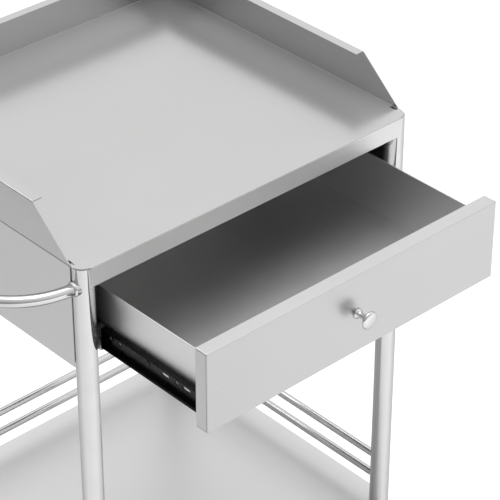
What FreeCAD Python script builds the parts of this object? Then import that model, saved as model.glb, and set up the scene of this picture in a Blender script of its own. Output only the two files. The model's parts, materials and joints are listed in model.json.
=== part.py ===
import FreeCAD
import Part
import Sketcher
import math
import os
from FreeCAD import Placement, Rotation, Vector

# Driving sizes in millimetres and degrees, each set by itself.
driving_sizes = {
    # tray on top
    "deck_width": 500,
    "deck_depth": 440,
    "deck_height": 807,
    "tray_sheet": 1.2,
    "guard_height": 53,
    "guard_flange": 13,
    "guard_slant_foot": 17,
    "guard_slant_head": 79,
    "relief_length": 11,
    "relief_width": 3.2,
    "apron_height": 26,
    "apron_bevel": 16.7,
    "apron_return": 8,
    "stiffener_width": 60,
    "stiffener_crown": 34,
    "stiffener_drop": 14,
    "stiffener_sheet": 1.2,
    "deck_stiffener_gap": 34,
    # frame tubes
    "leg_diameter": 25.4,
    "leg_wall": 1.5,
    "weld_gap": 0.1,
    "collar_gap": 0.35,
    "rail_diameter": 10,
    "rail_upper_rise": 66,
    "rail_lower_rise": 34,
    "handle_diameter": 14,
    "handle_wall": 1.4,
    "handle_drop": 27,
    "handle_lead": 10,
    "handle_bend": 100,
    "collar_diameter": 18,
    "collar_length": 4,
    "handle_notch_gap": 0.4,
    # housing under the deck
    "panel_sheet": 1.0,
    "panel_drop": 135,
    "panel_setback": 18.6,
    "panel_flange": 13,
    "flange_setback": 27,
    "runner_height": 46,
    "runner_sheet": 1.2,
    # lower shelf
    "shelf_height": 220,
    "shelf_sheet": 1.2,
    "shelf_rim": 25,
    "shelf_return": 10,
    # drawer
    "drawer_open": 168,
    "front_gap": 4,
    "front_top": 32,
    "front_height": 103,
    "front_depth": 18,
    "front_sheet": 1.0,
    "box_top": 47,
    "box_height": 77.5,
    "box_sheet": 1.0,
    "hem_height": 7,
    "hem_thickness": 1.1,
    # ball-bearing slides
    "slide_inset": 30,
    "slide_depth": 12.7,
    "slide_length": 350,
    "slide_setback": 20,
    "slide_centre": 109,
    "slide_sheet": 1.2,
    "ball_diameter": 3.97,
    "ball_clearance": 0.1,
    "ball_row": 14.6,
    "race_offset": 7,
    "race_wrap": 60,
    "cage_setback": 76,
    "cage_length": 140,
    "cage_sheet": 0.5,
    "cage_back": 2.4,
    "cage_lip": 10.6,
    "ball_pitch": 22,
    "slot_height": 4.6,
    "slot_length": 12.5,
    "slot_first": 27.5,
    "slot_second": 62,
    "peg_hole_first": 43.5,
    "peg_hole_second": 138.5,
    "peg_hole_third": 154,
    "screw_first": 91,
    "screw_second": 231,
    "screw_third": 322,
    "rivet_end": 35,
    "rivet_diameter": 4,
    "rivet_head": 0.9,
    # knob
    "knob_length": 22,
    "knob_diameter": 22,
    "knob_base_diameter": 13,
    "knob_neck_diameter": 6.4,
    "screw_diameter": 4,
    "screw_clearance": 0.25,
    # casters
    "wheel_diameter": 75,
    "wheel_width": 24,
    "tread_depth": 8,
    "caster_offset": 28,
    "fork_gap": 27,
    "fork_sheet": 2.5,
    "fork_top": 86.5,
    "crown_radius": 18,
    "axle_diameter": 8,
    "axle_clearance": 0.06,
    "axle_head": 13,
    "axle_head_height": 4.5,
    "stem_diameter": 12,
    "stem_reach": 28,
    "stem_head": 2.6,
    "swivel_gap": 0.3,
    "plug_flange": 3,
    "cup_height": 10.2,
    "cup_rim": 3,
    "boss_proud": 1,
    "fork_foot_radius": 9,
    "pedal_pivot_back": 50,
    "pedal_pivot_height": 80,
    "pedal_ear": 8,
    "pedal_pin_diameter": 5,
    "pedal_pin_proud": 1,
    "pedal_cam": 10,
    "pedal_tongue": 37,
    "pedal_side_gap": 0.5,
}


# A size that remembers the formula it came from.
class Size:
    def __init__(self, text, value):
        self.text = text
        self.value = float(value)

    def __float__(self):
        return self.value

    def __add__(self, other):
        return joined(self, "+", other)

    def __radd__(self, other):
        return joined(other, "+", self)

    def __sub__(self, other):
        return joined(self, "-", other)

    def __rsub__(self, other):
        return joined(other, "-", self)

    def __mul__(self, other):
        return joined(self, "*", other)

    def __rmul__(self, other):
        return joined(other, "*", self)

    def __truediv__(self, other):
        return joined(self, "/", other)

    def __neg__(self):
        return joined(0, "-", self)


def as_size(thing):
    if isinstance(thing, Size):
        return thing
    return Size(repr(float(thing)), thing)


def joined(left, sign, right):
    left = as_size(left)
    right = as_size(right)
    values = {
        "+": left.value + right.value,
        "-": left.value - right.value,
        "*": left.value * right.value,
        "/": left.value / (right.value or 1.0),
    }
    return Size("(" + left.text + " " + sign + " " + right.text + ")", values[sign])


doc = FreeCAD.newDocument("Trolley")
sheet = doc.addObject("Spreadsheet::Sheet", "Sizes")
for row, (alias, number) in enumerate(driving_sizes.items(), start=1):
    sheet.set("A" + str(row), alias)
    sheet.set("B" + str(row), str(number))
    sheet.setAlias("B" + str(row), alias)
doc.recompute()


# Looks a driving size up in the sheet.
def named(alias):
    return Size("Sizes." + alias, sheet.get(alias))


def bind(thing, path, size):
    thing.setExpression(path, as_size(size).text)


def place(thing, x, y, z, turn=None):
    if turn:
        thing.Placement = Placement(Vector(0, 0, 0), turn)
    bind(thing, ".Placement.Base.x", x)
    bind(thing, ".Placement.Base.y", y)
    bind(thing, ".Placement.Base.z", z)


sub_parts = []


# Every piece that is written out is kept in this list.
def keep(thing, label):
    thing.Label = label
    sub_parts.append(thing)
    return thing


def new_body(label):
    return keep(doc.addObject("PartDesign::Body", label), label)


# Signs that turn a distance along +X, +Y or +Z into one along the plane's normal.
plane_signs = {"XY_Plane": 1, "XZ_Plane": -1, "YZ_Plane": 1}


def new_sketch(body, plane, height):
    sketch = body.newObject("Sketcher::SketchObject", body.Name + "_sketch")
    support = [item for item in body.Origin.OriginFeatures if item.Role == plane][0]
    sketch.AttachmentSupport = [(support, "")]
    sketch.MapMode = "FlatFace"
    bind(sketch, ".AttachmentOffset.Base.z", plane_signs[plane] * as_size(height))
    return sketch


def hold_point(sketch, line, end, x, y):
    for kind, size in (("DistanceX", as_size(x)), ("DistanceY", as_size(y))):
        index = sketch.addConstraint(
            Sketcher.Constraint(kind, -1, 1, line, end, size.value))
        bind(sketch, "Constraints[" + str(index) + "]", size)


def draw_outline(sketch, corners):
    lines = []
    for start, end in zip(corners, corners[1:] + corners[:1]):
        line = Part.LineSegment(Vector(float(start[0]), float(start[1]), 0),
                                Vector(float(end[0]), float(end[1]), 0))
        lines.append(sketch.addGeometry(line, False))
    for line, following in zip(lines, lines[1:] + lines[:1]):
        sketch.addConstraint(Sketcher.Constraint("Coincident", line, 2, following, 1))
    for line, corner in zip(lines, corners):
        hold_point(sketch, line, 1, corner[0], corner[1])


def draw_circle(sketch, x, y, radius):
    radius = as_size(radius)
    circle = sketch.addGeometry(
        Part.Circle(Vector(float(x), float(y), 0), Vector(0, 0, 1), radius.value), False)
    hold_point(sketch, circle, 3, x, y)
    index = sketch.addConstraint(Sketcher.Constraint("Radius", circle, radius.value))
    bind(sketch, "Constraints[" + str(index) + "]", radius)


# Adds material from start to start + length along the axis across the plane.
def pad(body, plane, start, length, outlines=(), circles=()):
    sketch = new_sketch(body, plane, start)
    for outline in outlines:
        draw_outline(sketch, outline)
    for circle in circles:
        draw_circle(sketch, *circle)
    feature = body.newObject("PartDesign::Pad", body.Name + "_pad")
    feature.Profile = sketch
    bind(feature, "Length", length)
    feature.Reversed = plane_signs[plane] < 0
    doc.recompute()
    return feature


# Removes material from start to start + length along the axis across the plane.
def pocket(body, plane, start, length, outlines=(), circles=()):
    before = body.Shape.Volume
    sketch = new_sketch(body, plane, start)
    for outline in outlines:
        draw_outline(sketch, outline)
    for circle in circles:
        draw_circle(sketch, *circle)
    feature = body.newObject("PartDesign::Pocket", body.Name + "_pocket")
    feature.Profile = sketch
    bind(feature, "Length", length)
    feature.Reversed = plane_signs[plane] > 0
    doc.recompute()
    if body.Shape.Volume >= before:
        raise RuntimeError(body.Label + ": a pocket removes nothing")
    return feature


# Turns an outline in the XZ plane once round the Z axis.
def revolve(body, corners):
    sketch = new_sketch(body, "XZ_Plane", 0)
    draw_outline(sketch, corners)
    feature = body.newObject("PartDesign::Revolution", body.Name + "_turned")
    feature.Profile = sketch
    feature.ReferenceAxis = (sketch, ["V_Axis"])
    feature.Angle = 360
    doc.recompute()
    return feature


# Rounds the straight edges that run along one axis and pass near a point.
def round_edges(body, radius, direction, points):
    doc.recompute()
    base = body.Tip
    names = []
    for index, edge in enumerate(base.Shape.Edges, start=1):
        if len(edge.Vertexes) != 2:
            continue
        chord = edge.Vertexes[1].Point - edge.Vertexes[0].Point
        if abs(chord.dot(direction)) < edge.Length - 0.0001:
            continue
        for point in points:
            target = Vector(*[float(value) for value in point])
            gap = target - edge.Vertexes[0].Point
            if (gap - direction * gap.dot(direction)).Length < 0.02:
                names.append("Edge" + str(index))
                break
    if not names:
        raise RuntimeError(body.Label + ": no edge to round")
    feature = body.newObject("PartDesign::Fillet", body.Name + "_bend")
    feature.Base = (base, names)
    bind(feature, "Radius", radius)
    doc.recompute()
    return feature


along_x = Vector(1, 0, 0)
along_y = Vector(0, 1, 0)
along_z = Vector(0, 0, 1)


def box(x0, x1, y0, y1, z0, z1):
    block = doc.addObject("Part::Box", "block")
    bind(block, "Length", as_size(x1) - x0)
    bind(block, "Width", as_size(y1) - y0)
    bind(block, "Height", as_size(z1) - z0)
    place(block, x0, y0, z0)
    return block


turn_to_x = Rotation(Vector(0, 1, 0), 90)
turn_to_y = Rotation(Vector(1, 0, 0), -90)


def rod(radius, length, x, y, z, turn=None):
    bar = doc.addObject("Part::Cylinder", "rod")
    bind(bar, "Radius", radius)
    bind(bar, "Height", length)
    place(bar, x, y, z, turn)
    return bar


def cut(base, tool):
    result = doc.addObject("Part::Cut", "cut")
    result.Base = base
    result.Tool = tool
    return result


def fuse(pieces):
    result = doc.addObject("Part::MultiFuse", "fused")
    result.Shapes = pieces
    return result


def group(pieces):
    result = doc.addObject("Part::Compound", "group")
    result.Links = pieces
    return result


# Sizes and places that follow from the driving ones.
width = named("deck_width")
depth = named("deck_depth")
deck_height = named("deck_height")
tray_sheet = named("tray_sheet")
leg_radius = named("leg_diameter") / 2
cup_bottom = named("fork_top") + named("swivel_gap")
cup_top = cup_bottom + named("cup_height")
leg_foot = cup_top + named("plug_flange")
drawer_open = named("drawer_open")
handle_reach = named("handle_lead") + named("handle_bend") + named("handle_diameter") / 2 - leg_radius
axle_reach = named("fork_gap") / 2 + named("fork_sheet") + named("axle_head_height")
front_reach = drawer_open + named("knob_length")
back_reach = axle_reach - leg_radius
right_reach = named("crown_radius") - leg_radius

# The row's origin is on the floor under the middle of the whole trolley's box.
deck_left = (handle_reach - width - right_reach) / 2
deck_front = (front_reach - depth - back_reach) / 2
leg_near = leg_radius
leg_right = width - leg_radius
leg_back = depth - leg_radius
leg_places = {
    "front_left": (leg_near, leg_near),
    "front_right": (leg_right, leg_near),
    "back_left": (leg_near, leg_back),
    "back_right": (leg_right, leg_back),
}


# Puts a piece drawn from the deck's front left corner in its place.
def seat(thing, shift=0):
    place(thing, deck_left, deck_front - shift, deck_height)
    return thing


# Top tray: deck, two side guards with slanted noses, back guard, inward flanges and apron.
def make_tray():
    body = new_body("top_tray")
    rise = named("guard_height")
    flange = named("guard_flange")
    bend = tray_sheet
    foot = named("guard_slant_foot")
    head = named("guard_slant_head")
    pad(body, "XY_Plane", -tray_sheet, tray_sheet, [[
        (0, 0), (width, 0), (width, depth), (0, depth)]])
    round_edges(body, leg_radius, along_z, [(0, 0, 0), (width, 0, 0)])
    pad(body, "XZ_Plane", foot, depth - foot, [[
        (0, -tray_sheet), (width, -tray_sheet), (width, rise), (width - flange, rise),
        (width - flange, rise - tray_sheet), (width - tray_sheet, rise - tray_sheet),
        (width - tray_sheet, 0), (tray_sheet, 0), (tray_sheet, rise - tray_sheet),
        (flange, rise - tray_sheet), (flange, rise), (0, rise)]])
    round_edges(body, tray_sheet * 1.5, along_y, [(0, 0, rise), (width, 0, rise)])
    round_edges(body, bend, along_y, [(tray_sheet, 0, 0), (width - tray_sheet, 0, 0)])
    pocket(body, "YZ_Plane", -1, width + 2, [[
        (foot - 1, 0), (foot, 0), (head, rise + 1), (foot - 1, rise + 1)]])
    pad(body, "YZ_Plane", 0, width, [[
        (depth - tray_sheet, -tray_sheet), (depth, -tray_sheet), (depth, rise),
        (depth - flange, rise), (depth - flange, rise - tray_sheet),
        (depth - tray_sheet, rise - tray_sheet)]])
    round_edges(body, bend, along_x, [(0, depth - tray_sheet, 0)])
    # A relief slot beside each side guard's foot, where its bend ends above the leg tube.
    reach = named("relief_length")
    slot = named("relief_width")
    for start in (tray_sheet, width - tray_sheet - slot):
        pocket(body, "XY_Plane", -tray_sheet - 1, tray_sheet * 2 + 2, [[
            (start, foot), (start + slot, foot), (start + slot, foot + reach),
            (start, foot + reach)]])
    # The apron's ends are bevelled to lie along the leg tubes.
    drop = named("apron_height")
    reach = leg_radius + named("weld_gap")
    bevel = math.radians(float(named("apron_bevel")))
    tip = leg_near + reach * math.sin(bevel) - (leg_near - reach * math.cos(bevel)) / math.tan(bevel)
    heel = tip + tray_sheet / math.tan(bevel)
    pad(body, "XY_Plane", -drop, drop - tray_sheet / 2, [[
        (tip, 0), (width - tip, 0), (width - heel, tray_sheet), (heel, tray_sheet)]])
    inset = named("flange_setback")
    pad(body, "XY_Plane", -drop, tray_sheet, [[
        (inset, tray_sheet / 2), (width - inset, tray_sheet / 2),
        (width - inset, named("apron_return")), (inset, named("apron_return"))]])
    return seat(body)


# Hat-shaped channel that stiffens a sheet from below, its flanges against the sheet.
def make_stiffener(label, end_gap, under):
    body = new_body(label)
    half = named("stiffener_width") / 2
    crown = named("stiffener_crown") / 2
    drop = named("stiffener_drop")
    gauge = named("stiffener_sheet")
    pad(body, "YZ_Plane", end_gap, width - as_size(end_gap) * 2, [[
        (-half, 0), (-half, -gauge), (-crown, -gauge), (-crown, -drop), (crown, -drop),
        (crown, -gauge), (half, -gauge), (half, 0), (crown - gauge, 0),
        (crown - gauge, gauge - drop), (gauge - crown, gauge - drop), (gauge - crown, 0)]])
    place(body, deck_left, deck_front + depth / 2, under)
    return body


# Round tube leg, closed above by the deck and open below for the caster's plug.
def make_leg(label, spot):
    length = deck_height - tray_sheet - leg_foot
    x = deck_left + spot[0]
    y = deck_front + spot[1]
    outer = rod(leg_radius, length, x, y, leg_foot)
    inner = rod(leg_radius - named("leg_wall"), length, x, y, leg_foot)
    keep(cut(outer, inner), label)


# Side panel of the housing: a sheet between two legs with inward flanges. The left one is
# notched where the handle passes its edges.
def make_side_panel(label, mirrored):
    body = new_body(label)
    gauge = named("panel_sheet")
    drop = named("panel_drop")
    setback = named("panel_setback")
    lip = named("panel_flange")
    inset = named("flange_setback")
    outer = width if mirrored else as_size(0)
    way = -1 if mirrored else 1
    pad(body, "XZ_Plane", setback, depth - setback * 2, [[
        (outer, -tray_sheet), (outer, -drop), (outer + way * gauge, -drop),
        (outer + way * gauge, -tray_sheet)]])
    for top in (-tray_sheet, gauge - drop):
        pad(body, "XZ_Plane", inset, depth - inset * 2, [[
            (outer, top), (outer + way * lip, top), (outer + way * lip, top - gauge),
            (outer, top - gauge)]])
    round_edges(body, gauge, along_y, [(outer, 0, -drop)])
    if not mirrored:
        notch = named("handle_diameter") / 2 + named("handle_notch_gap")
        height = -named("handle_drop")
        pocket(body, "YZ_Plane", -1, gauge + 2, circles=[
            (leg_near, height, notch), (leg_back, height, notch)])
    return seat(body)


# Back panel of the housing, between the two back legs.
def make_back_panel():
    body = new_body("back_panel")
    gauge = named("panel_sheet")
    drop = named("panel_drop")
    setback = named("panel_setback")
    lip = named("panel_flange")
    inset = named("flange_setback")
    pad(body, "YZ_Plane", setback, width - setback * 2, [[
        (depth, -tray_sheet), (depth, -drop), (depth - gauge, -drop),
        (depth - gauge, -tray_sheet)]])
    for top in (-tray_sheet, gauge - drop):
        pad(body, "YZ_Plane", inset, width - inset * 2, [[
            (depth, top), (depth - lip, top), (depth - lip, top - gauge), (depth, top - gauge)]])
    round_edges(body, gauge, along_x, [(0, depth, -drop)])
    return seat(body)


# Places along a slide, measured back from the drawer front's face when the drawer is shut.
def housing_rivets():
    start = named("slide_setback")
    length = named("slide_length")
    end = named("rivet_end")
    return [start + end, start + length / 2, start + length - end]


def member_screws():
    start = named("slide_setback")
    return [start + named(alias) for alias in ("screw_first", "screw_second", "screw_third")]


# Channel welded inside a side panel, with a flat web that carries the slide.
def make_runner(label, mirrored):
    body = new_body(label)
    gauge = named("runner_sheet")
    half = named("runner_height") / 2
    middle = -named("slide_centre")
    inset = named("flange_setback")
    near = named("panel_sheet")
    far = named("slide_inset")
    if mirrored:
        near = width - near
        far = width - far
    way = 1 if mirrored else -1
    web = far + way * gauge
    pad(body, "XZ_Plane", inset, depth - inset * 2, [[
        (near, middle + half), (far, middle + half), (far, middle - half),
        (near, middle - half), (near, middle - half + gauge), (web, middle - half + gauge),
        (web, middle + half - gauge), (near, middle + half - gauge)]])
    round_edges(body, gauge, along_y, [
        (far, 0, middle + half), (far, 0, middle - half)])
    pad(body, "XZ_Plane", named("slide_setback"), depth - named("slide_setback") * 2, [[
        (far, middle + half - gauge * 2), (far, middle - half + gauge * 2),
        (web, middle - half + gauge * 2), (web, middle + half - gauge * 2)]])
    pocket(body, "YZ_Plane", far - gauge * 2, gauge * 4, circles=[
        (spot, middle, named("rivet_diameter") / 2) for spot in housing_rivets()])
    return seat(body)


# Lower shelf: a pan with its rim turned down and notched round the legs.
def make_shelf():
    body = new_body("lower_shelf")
    gauge = named("shelf_sheet")
    rim = named("shelf_rim")
    turned = named("shelf_return")
    pad(body, "XY_Plane", -rim, rim, [[(0, 0), (width, 0), (width, depth), (0, depth)]])
    round_edges(body, gauge * 2, along_x, [(0, 0, 0), (0, depth, 0)])
    round_edges(body, gauge * 2, along_y, [(0, 0, 0), (width, 0, 0)])
    pocket(body, "XY_Plane", gauge - rim, rim - gauge * 2, [[
        (gauge, gauge), (width - gauge, gauge), (width - gauge, depth - gauge),
        (gauge, depth - gauge)]])
    pocket(body, "XY_Plane", -rim - 1, gauge + 2, [[
        (turned, turned), (width - turned, turned), (width - turned, depth - turned),
        (turned, depth - turned)]])
    notch = leg_radius + named("weld_gap")
    spots = list(leg_places.values())
    pocket(body, "XY_Plane", -rim - 1, rim + 2, circles=[
        (spot[0], spot[1], notch) for spot in spots])
    for spot in spots:
        x0 = -1 if spot[0] is leg_near else spot[0]
        x1 = spot[0] if spot[0] is leg_near else width + 1
        y0 = -1 if spot[1] is leg_near else spot[1]
        y1 = spot[1] if spot[1] is leg_near else depth + 1
        pocket(body, "XY_Plane", -rim - 1, rim + 2, [[(x0, y0), (x1, y0), (x1, y1), (x0, y1)]])
    place(body, deck_left, deck_front, named("shelf_height"))
    return body


# Round rail between two legs, coped to their tubes at both ends.
def make_rail(label, first, second, rise):
    along = first[1] is second[1]
    span = (second[0] - first[0]) if along else (second[1] - first[1])
    height = named("shelf_height") + rise
    turn = turn_to_x if along else turn_to_y
    bar = rod(named("rail_diameter") / 2, span, deck_left + first[0], deck_front + first[1],
              height, turn)
    tools = []
    for spot in (first, second):
        tools.append(rod(leg_radius + named("weld_gap"), named("rail_diameter") * 2,
                         deck_left + spot[0], deck_front + spot[1],
                         height - named("rail_diameter")))
    keep(cut(bar, fuse(tools)), label)


# Push handle: a tube bowed out from the left front leg and back to the left back leg.
def make_handle():
    body = new_body("push_handle")
    lead = named("handle_lead")
    bend = named("handle_bend")
    span = depth - leg_radius * 2
    path = new_sketch(body, "XY_Plane", 0)
    corners = [(0, 0), (-lead, 0), (-lead - bend, bend), (-lead - bend, span - bend),
               (-lead, span), (0, span)]
    corner_points = [Vector(float(x), float(y), 0) for x, y in corners]
    half_turn = float(bend) * math.sqrt(0.5)
    first_centre = Vector(float(-lead), float(bend), 0)
    last_centre = Vector(float(-lead), float(span - bend), 0)
    pieces = [
        Part.LineSegment(corner_points[0], corner_points[1]),
        Part.Arc(corner_points[1], first_centre + Vector(-half_turn, -half_turn, 0),
                 corner_points[2]),
        Part.LineSegment(corner_points[2], corner_points[3]),
        Part.Arc(corner_points[3], last_centre + Vector(-half_turn, half_turn, 0),
                 corner_points[4]),
        Part.LineSegment(corner_points[4], corner_points[5]),
    ]
    for piece in pieces:
        path.addGeometry(piece, False)
    # An arc drawn clockwise is kept counter-clockwise, so its ends are swapped.
    ends = [(0, 2, 1, 2), (1, 1, 2, 1), (2, 2, 3, 2), (3, 1, 4, 1)]
    for end in ends:
        path.addConstraint(Sketcher.Constraint("Coincident", *end))
    hold_point(path, 0, 1, *corners[0])
    hold_point(path, 0, 2, *corners[1])
    hold_point(path, 2, 1, *corners[2])
    hold_point(path, 2, 2, *corners[3])
    hold_point(path, 4, 1, *corners[4])
    hold_point(path, 4, 2, *corners[5])
    for arc in (1, 3):
        index = path.addConstraint(Sketcher.Constraint("Radius", arc, float(bend)))
        bind(path, "Constraints[" + str(index) + "]", bend)
    radius = named("handle_diameter") / 2
    section = new_sketch(body, "YZ_Plane", 0)
    draw_circle(section, 0, 0, radius)
    draw_circle(section, 0, 0, radius - named("handle_wall"))
    doc.recompute()
    pipe = body.newObject("PartDesign::AdditivePipe", "push_handle_pipe")
    pipe.Profile = section
    pipe.Spine = (path, ["Edge1", "Edge2", "Edge3", "Edge4", "Edge5"])
    doc.recompute()
    notch = leg_radius + named("weld_gap")
    pocket(body, "XY_Plane", -radius * 2, radius * 4, circles=[(0, 0, notch), (0, span, notch)])
    place(body, deck_left + leg_near, deck_front + leg_near, deck_height - named("handle_drop"))
    return body


# Ring welded where the handle meets each leg, coped to the tube and to the side panel's edge.
def make_collars():
    rings = []
    height = deck_height - named("handle_drop")
    start = deck_left - named("collar_length")
    length = named("collar_length") + leg_radius
    gap = named("weld_gap")
    reach = named("collar_diameter")
    edge = named("panel_setback") - gap
    handle_hole = named("handle_diameter") / 2 + named("collar_gap")
    for y in (leg_near, leg_back):
        outer = rod(reach / 2, length, start, deck_front + y, height, turn_to_x)
        inner = rod(handle_hole, length, start, deck_front + y, height, turn_to_x)
        tube = rod(leg_radius + gap, reach * 2, deck_left + leg_near, deck_front + y,
                   height - reach)
        panel = box(deck_left - gap, deck_left + leg_radius, deck_front + edge,
                    deck_front + depth - edge, height - reach, height + reach)
        rings.append(cut(outer, fuse([inner, tube, panel])))
    keep(group(rings), "handle_collars")


# Drawer front: a folded pan with deep returns, open behind.
front_left = named("leg_diameter") + named("front_gap")
front_right = width - front_left
front_top = -named("front_top")
front_bottom = front_top - named("front_height")
screw_hole = named("screw_diameter") / 2 + named("screw_clearance")


def make_drawer_front():
    body = new_body("drawer_front")
    gauge = named("front_sheet")
    thick = named("front_depth")
    pad(body, "XZ_Plane", 0, thick, [[
        (front_left, front_top), (front_right, front_top), (front_right, front_bottom),
        (front_left, front_bottom)]])
    round_edges(body, gauge * 1.2, along_x, [(0, 0, front_top), (0, 0, front_bottom)])
    round_edges(body, gauge * 1.2, along_z, [(front_left, 0, 0), (front_right, 0, 0)])
    pocket(body, "XZ_Plane", gauge, thick, [[
        (front_left + gauge, front_top - gauge), (front_right - gauge, front_top - gauge),
        (front_right - gauge, front_bottom + gauge), (front_left + gauge, front_bottom + gauge)]])
    pocket(body, "XZ_Plane", -1, gauge + 2, circles=[
        (width / 2, (front_top + front_bottom) / 2, screw_hole)])
    return seat(body, drawer_open)


# Inner plate that closes the drawer front's pan from behind.
def make_front_liner():
    body = new_body("drawer_front_liner")
    gauge = named("front_sheet")
    thick = named("front_depth")
    pad(body, "XZ_Plane", thick - gauge, gauge, [[
        (front_left + gauge, front_top - gauge), (front_right - gauge, front_top - gauge),
        (front_right - gauge, front_bottom + gauge), (front_left + gauge, front_bottom + gauge)]])
    pocket(body, "XZ_Plane", thick - gauge * 2, gauge * 3, circles=[
        (width / 2, (front_top + front_bottom) / 2, screw_hole)])
    return seat(body, drawer_open)


# Drawer box: floor and four walls, with hemmed top edges on the sides and the back.
def make_drawer_box():
    body = new_body("drawer_box")
    gauge = named("box_sheet")
    left = named("slide_inset") + named("slide_depth")
    right = width - left
    top = -named("box_top")
    bottom = top - named("box_height")
    near = named("front_depth") + gauge
    far = named("slide_setback") + named("slide_length")
    hem = named("hem_height")
    fold = named("hem_thickness")
    pad(body, "XZ_Plane", near, far - near, [[
        (left, bottom), (right, bottom), (right, top), (right - gauge, top),
        (right - gauge, bottom + gauge), (left + gauge, bottom + gauge), (left + gauge, top),
        (left, top)]])
    round_edges(body, gauge, along_y, [(left + gauge, 0, bottom + gauge),
                                       (right - gauge, 0, bottom + gauge)])
    round_edges(body, gauge * 2, along_y, [(left, 0, bottom), (right, 0, bottom)])
    pad(body, "XZ_Plane", far - gauge, gauge, [[
        (left + gauge / 2, bottom + gauge / 2), (right - gauge / 2, bottom + gauge / 2),
        (right - gauge / 2, top), (left + gauge / 2, top)]])
    for side, way in ((left, -1), (right, 1)):
        pad(body, "XZ_Plane", near, far - near, [[
            (side, top), (side + way * fold, top), (side + way * fold, top - hem),
            (side, top - hem)]])
        round_edges(body, fold * 0.9, along_y, [(side + way * fold, 0, top)])
    pad(body, "YZ_Plane", left, right - left, [[
        (far, top), (far + fold, top), (far + fold, top - hem), (far, top - hem)]])
    pocket(body, "YZ_Plane", left - 1, right - left + 2, circles=[
        (spot, -named("slide_centre"), named("screw_diameter") / 2) for spot in member_screws()])
    return seat(body, drawer_open)


# Drawer end: plate across the near end of the box, bored for the knob's screw.
def make_drawer_end():
    body = new_body("drawer_box_end")
    gauge = named("box_sheet")
    left = named("slide_inset") + named("slide_depth")
    right = width - left
    top = -named("box_top")
    bottom = top - named("box_height")
    near = named("front_depth")
    pad(body, "XZ_Plane", near, gauge, [[
        (left, bottom), (right, bottom), (right, top), (left, top)]])
    round_edges(body, gauge * 2, along_y, [(left, 0, bottom), (right, 0, bottom)])
    pocket(body, "XZ_Plane", near - 1, gauge + 2, circles=[
        (width / 2, (front_top + front_bottom) / 2, screw_hole)])
    return seat(body, drawer_open)


# Knob: flared foot, thin neck and domed head, turned in one piece and bored for its screw.
def make_knob():
    body = new_body("drawer_knob")
    foot = named("knob_base_diameter") / 2
    neck = named("knob_neck_diameter") / 2
    head = named("knob_diameter") / 2
    reach = named("knob_length")
    bore = named("screw_diameter") / 2
    hole_end = reach * 0.5
    revolve(body, [
        (bore, 0), (foot, 0), (foot, reach * 0.07), (foot * 0.72, reach * 0.17),
        (neck * 1.15, reach * 0.34), (neck, reach * 0.5), (neck * 1.3, reach * 0.66),
        (head * 0.62, reach * 0.72), (head * 0.94, reach * 0.78), (head, reach * 0.86),
        (head * 0.9, reach * 0.94), (head * 0.55, reach * 0.985), (0, reach),
        (0, hole_end), (bore, hole_end)])
    body.Placement = Placement(Vector(0, 0, 0), Rotation(Vector(1, 0, 0), 90))
    bind(body, ".Placement.Base.x", deck_left + width / 2)
    bind(body, ".Placement.Base.y", deck_front - drawer_open)
    bind(body, ".Placement.Base.z",
         deck_height - named("front_top") - named("front_height") / 2)
    return body


# Screw that holds the knob from inside the drawer.
def make_knob_screw():
    body = new_body("knob_screw")
    shank = named("screw_diameter") / 2
    wall = named("front_depth") + named("box_sheet")
    tip = -(named("knob_length") * 0.45)
    revolve(body, [
        (0, tip), (shank, tip), (shank, wall), (shank * 2, wall),
        (shank * 2, wall + shank * 0.7), (shank * 1.2, wall + shank * 1.25),
        (0, wall + shank * 1.25)])
    body.Placement = Placement(Vector(0, 0, 0), Rotation(Vector(1, 0, 0), -90))
    bind(body, ".Placement.Base.x", deck_left + width / 2)
    bind(body, ".Placement.Base.y", deck_front - drawer_open)
    bind(body, ".Placement.Base.z",
         deck_height - named("front_top") - named("front_height") / 2)
    return body


# Slide sections lie in a plane: across runs from the mounting face to the drawer, rise is height.
ball_radius = float(named("ball_diameter")) / 2
ball_row = float(named("ball_row"))
race_offset = float(named("race_offset"))
slide_sheet = float(named("slide_sheet"))
slide_depth = float(named("slide_depth"))
slide_length = float(named("slide_length"))
slide_setback = float(named("slide_setback"))
race_radius = ball_radius + float(named("ball_clearance"))
back_radius = race_radius + slide_sheet
wrap = math.radians(float(named("race_wrap")))


# A rolled section with a race over the upper balls and its mirror image below.
def rolled_section(race_side, web_side, plate_face, lip_face):
    lip = ball_row + race_side * race_radius * math.cos(wrap)
    plate = lip + race_side * slide_sheet
    turn = math.acos((plate - ball_row) * race_side / back_radius)

    def spot(radius, angle):
        return (race_offset + web_side * radius * math.sin(angle),
                ball_row + race_side * radius * math.cos(angle))

    upper = [(plate_face, plate), spot(back_radius, turn), spot(back_radius, 0),
             spot(back_radius, -wrap), spot(race_radius, -wrap), spot(race_radius, 0),
             spot(race_radius, wrap), (lip_face, lip)]
    top = [Vector(across, 0, rise) for across, rise in upper]
    low = [Vector(across, 0, -rise) for across, rise in upper]
    edges = [Part.LineSegment(low[0], top[0]), Part.LineSegment(top[7], low[7])]
    for side in (top, low):
        edges.append(Part.LineSegment(side[0], side[1]))
        edges.append(Part.Arc(side[1], side[2], side[3]))
        edges.append(Part.LineSegment(side[3], side[4]))
        edges.append(Part.Arc(side[4], side[5], side[6]))
        edges.append(Part.LineSegment(side[6], side[7]))
    shapes = [edge.toShape() for edge in edges]
    return Part.Face(Part.Wire(Part.__sortEdges__(shapes)))


# Slot through a web, with round ends, centred on the section's middle height.
def slot_cutter(middle, length, height):
    half = height / 2
    straight = length - height
    shape = Part.makeCylinder(half, slide_depth * 2, Vector(-1, middle - straight / 2, 0), along_x)
    if straight > 0:
        shape = shape.fuse(Part.makeCylinder(
            half, slide_depth * 2, Vector(-1, middle + straight / 2, 0), along_x))
        shape = shape.fuse(Part.makeBox(
            slide_depth * 2, straight, height, Vector(-1, middle - straight / 2, -half)))
    return shape


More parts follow.
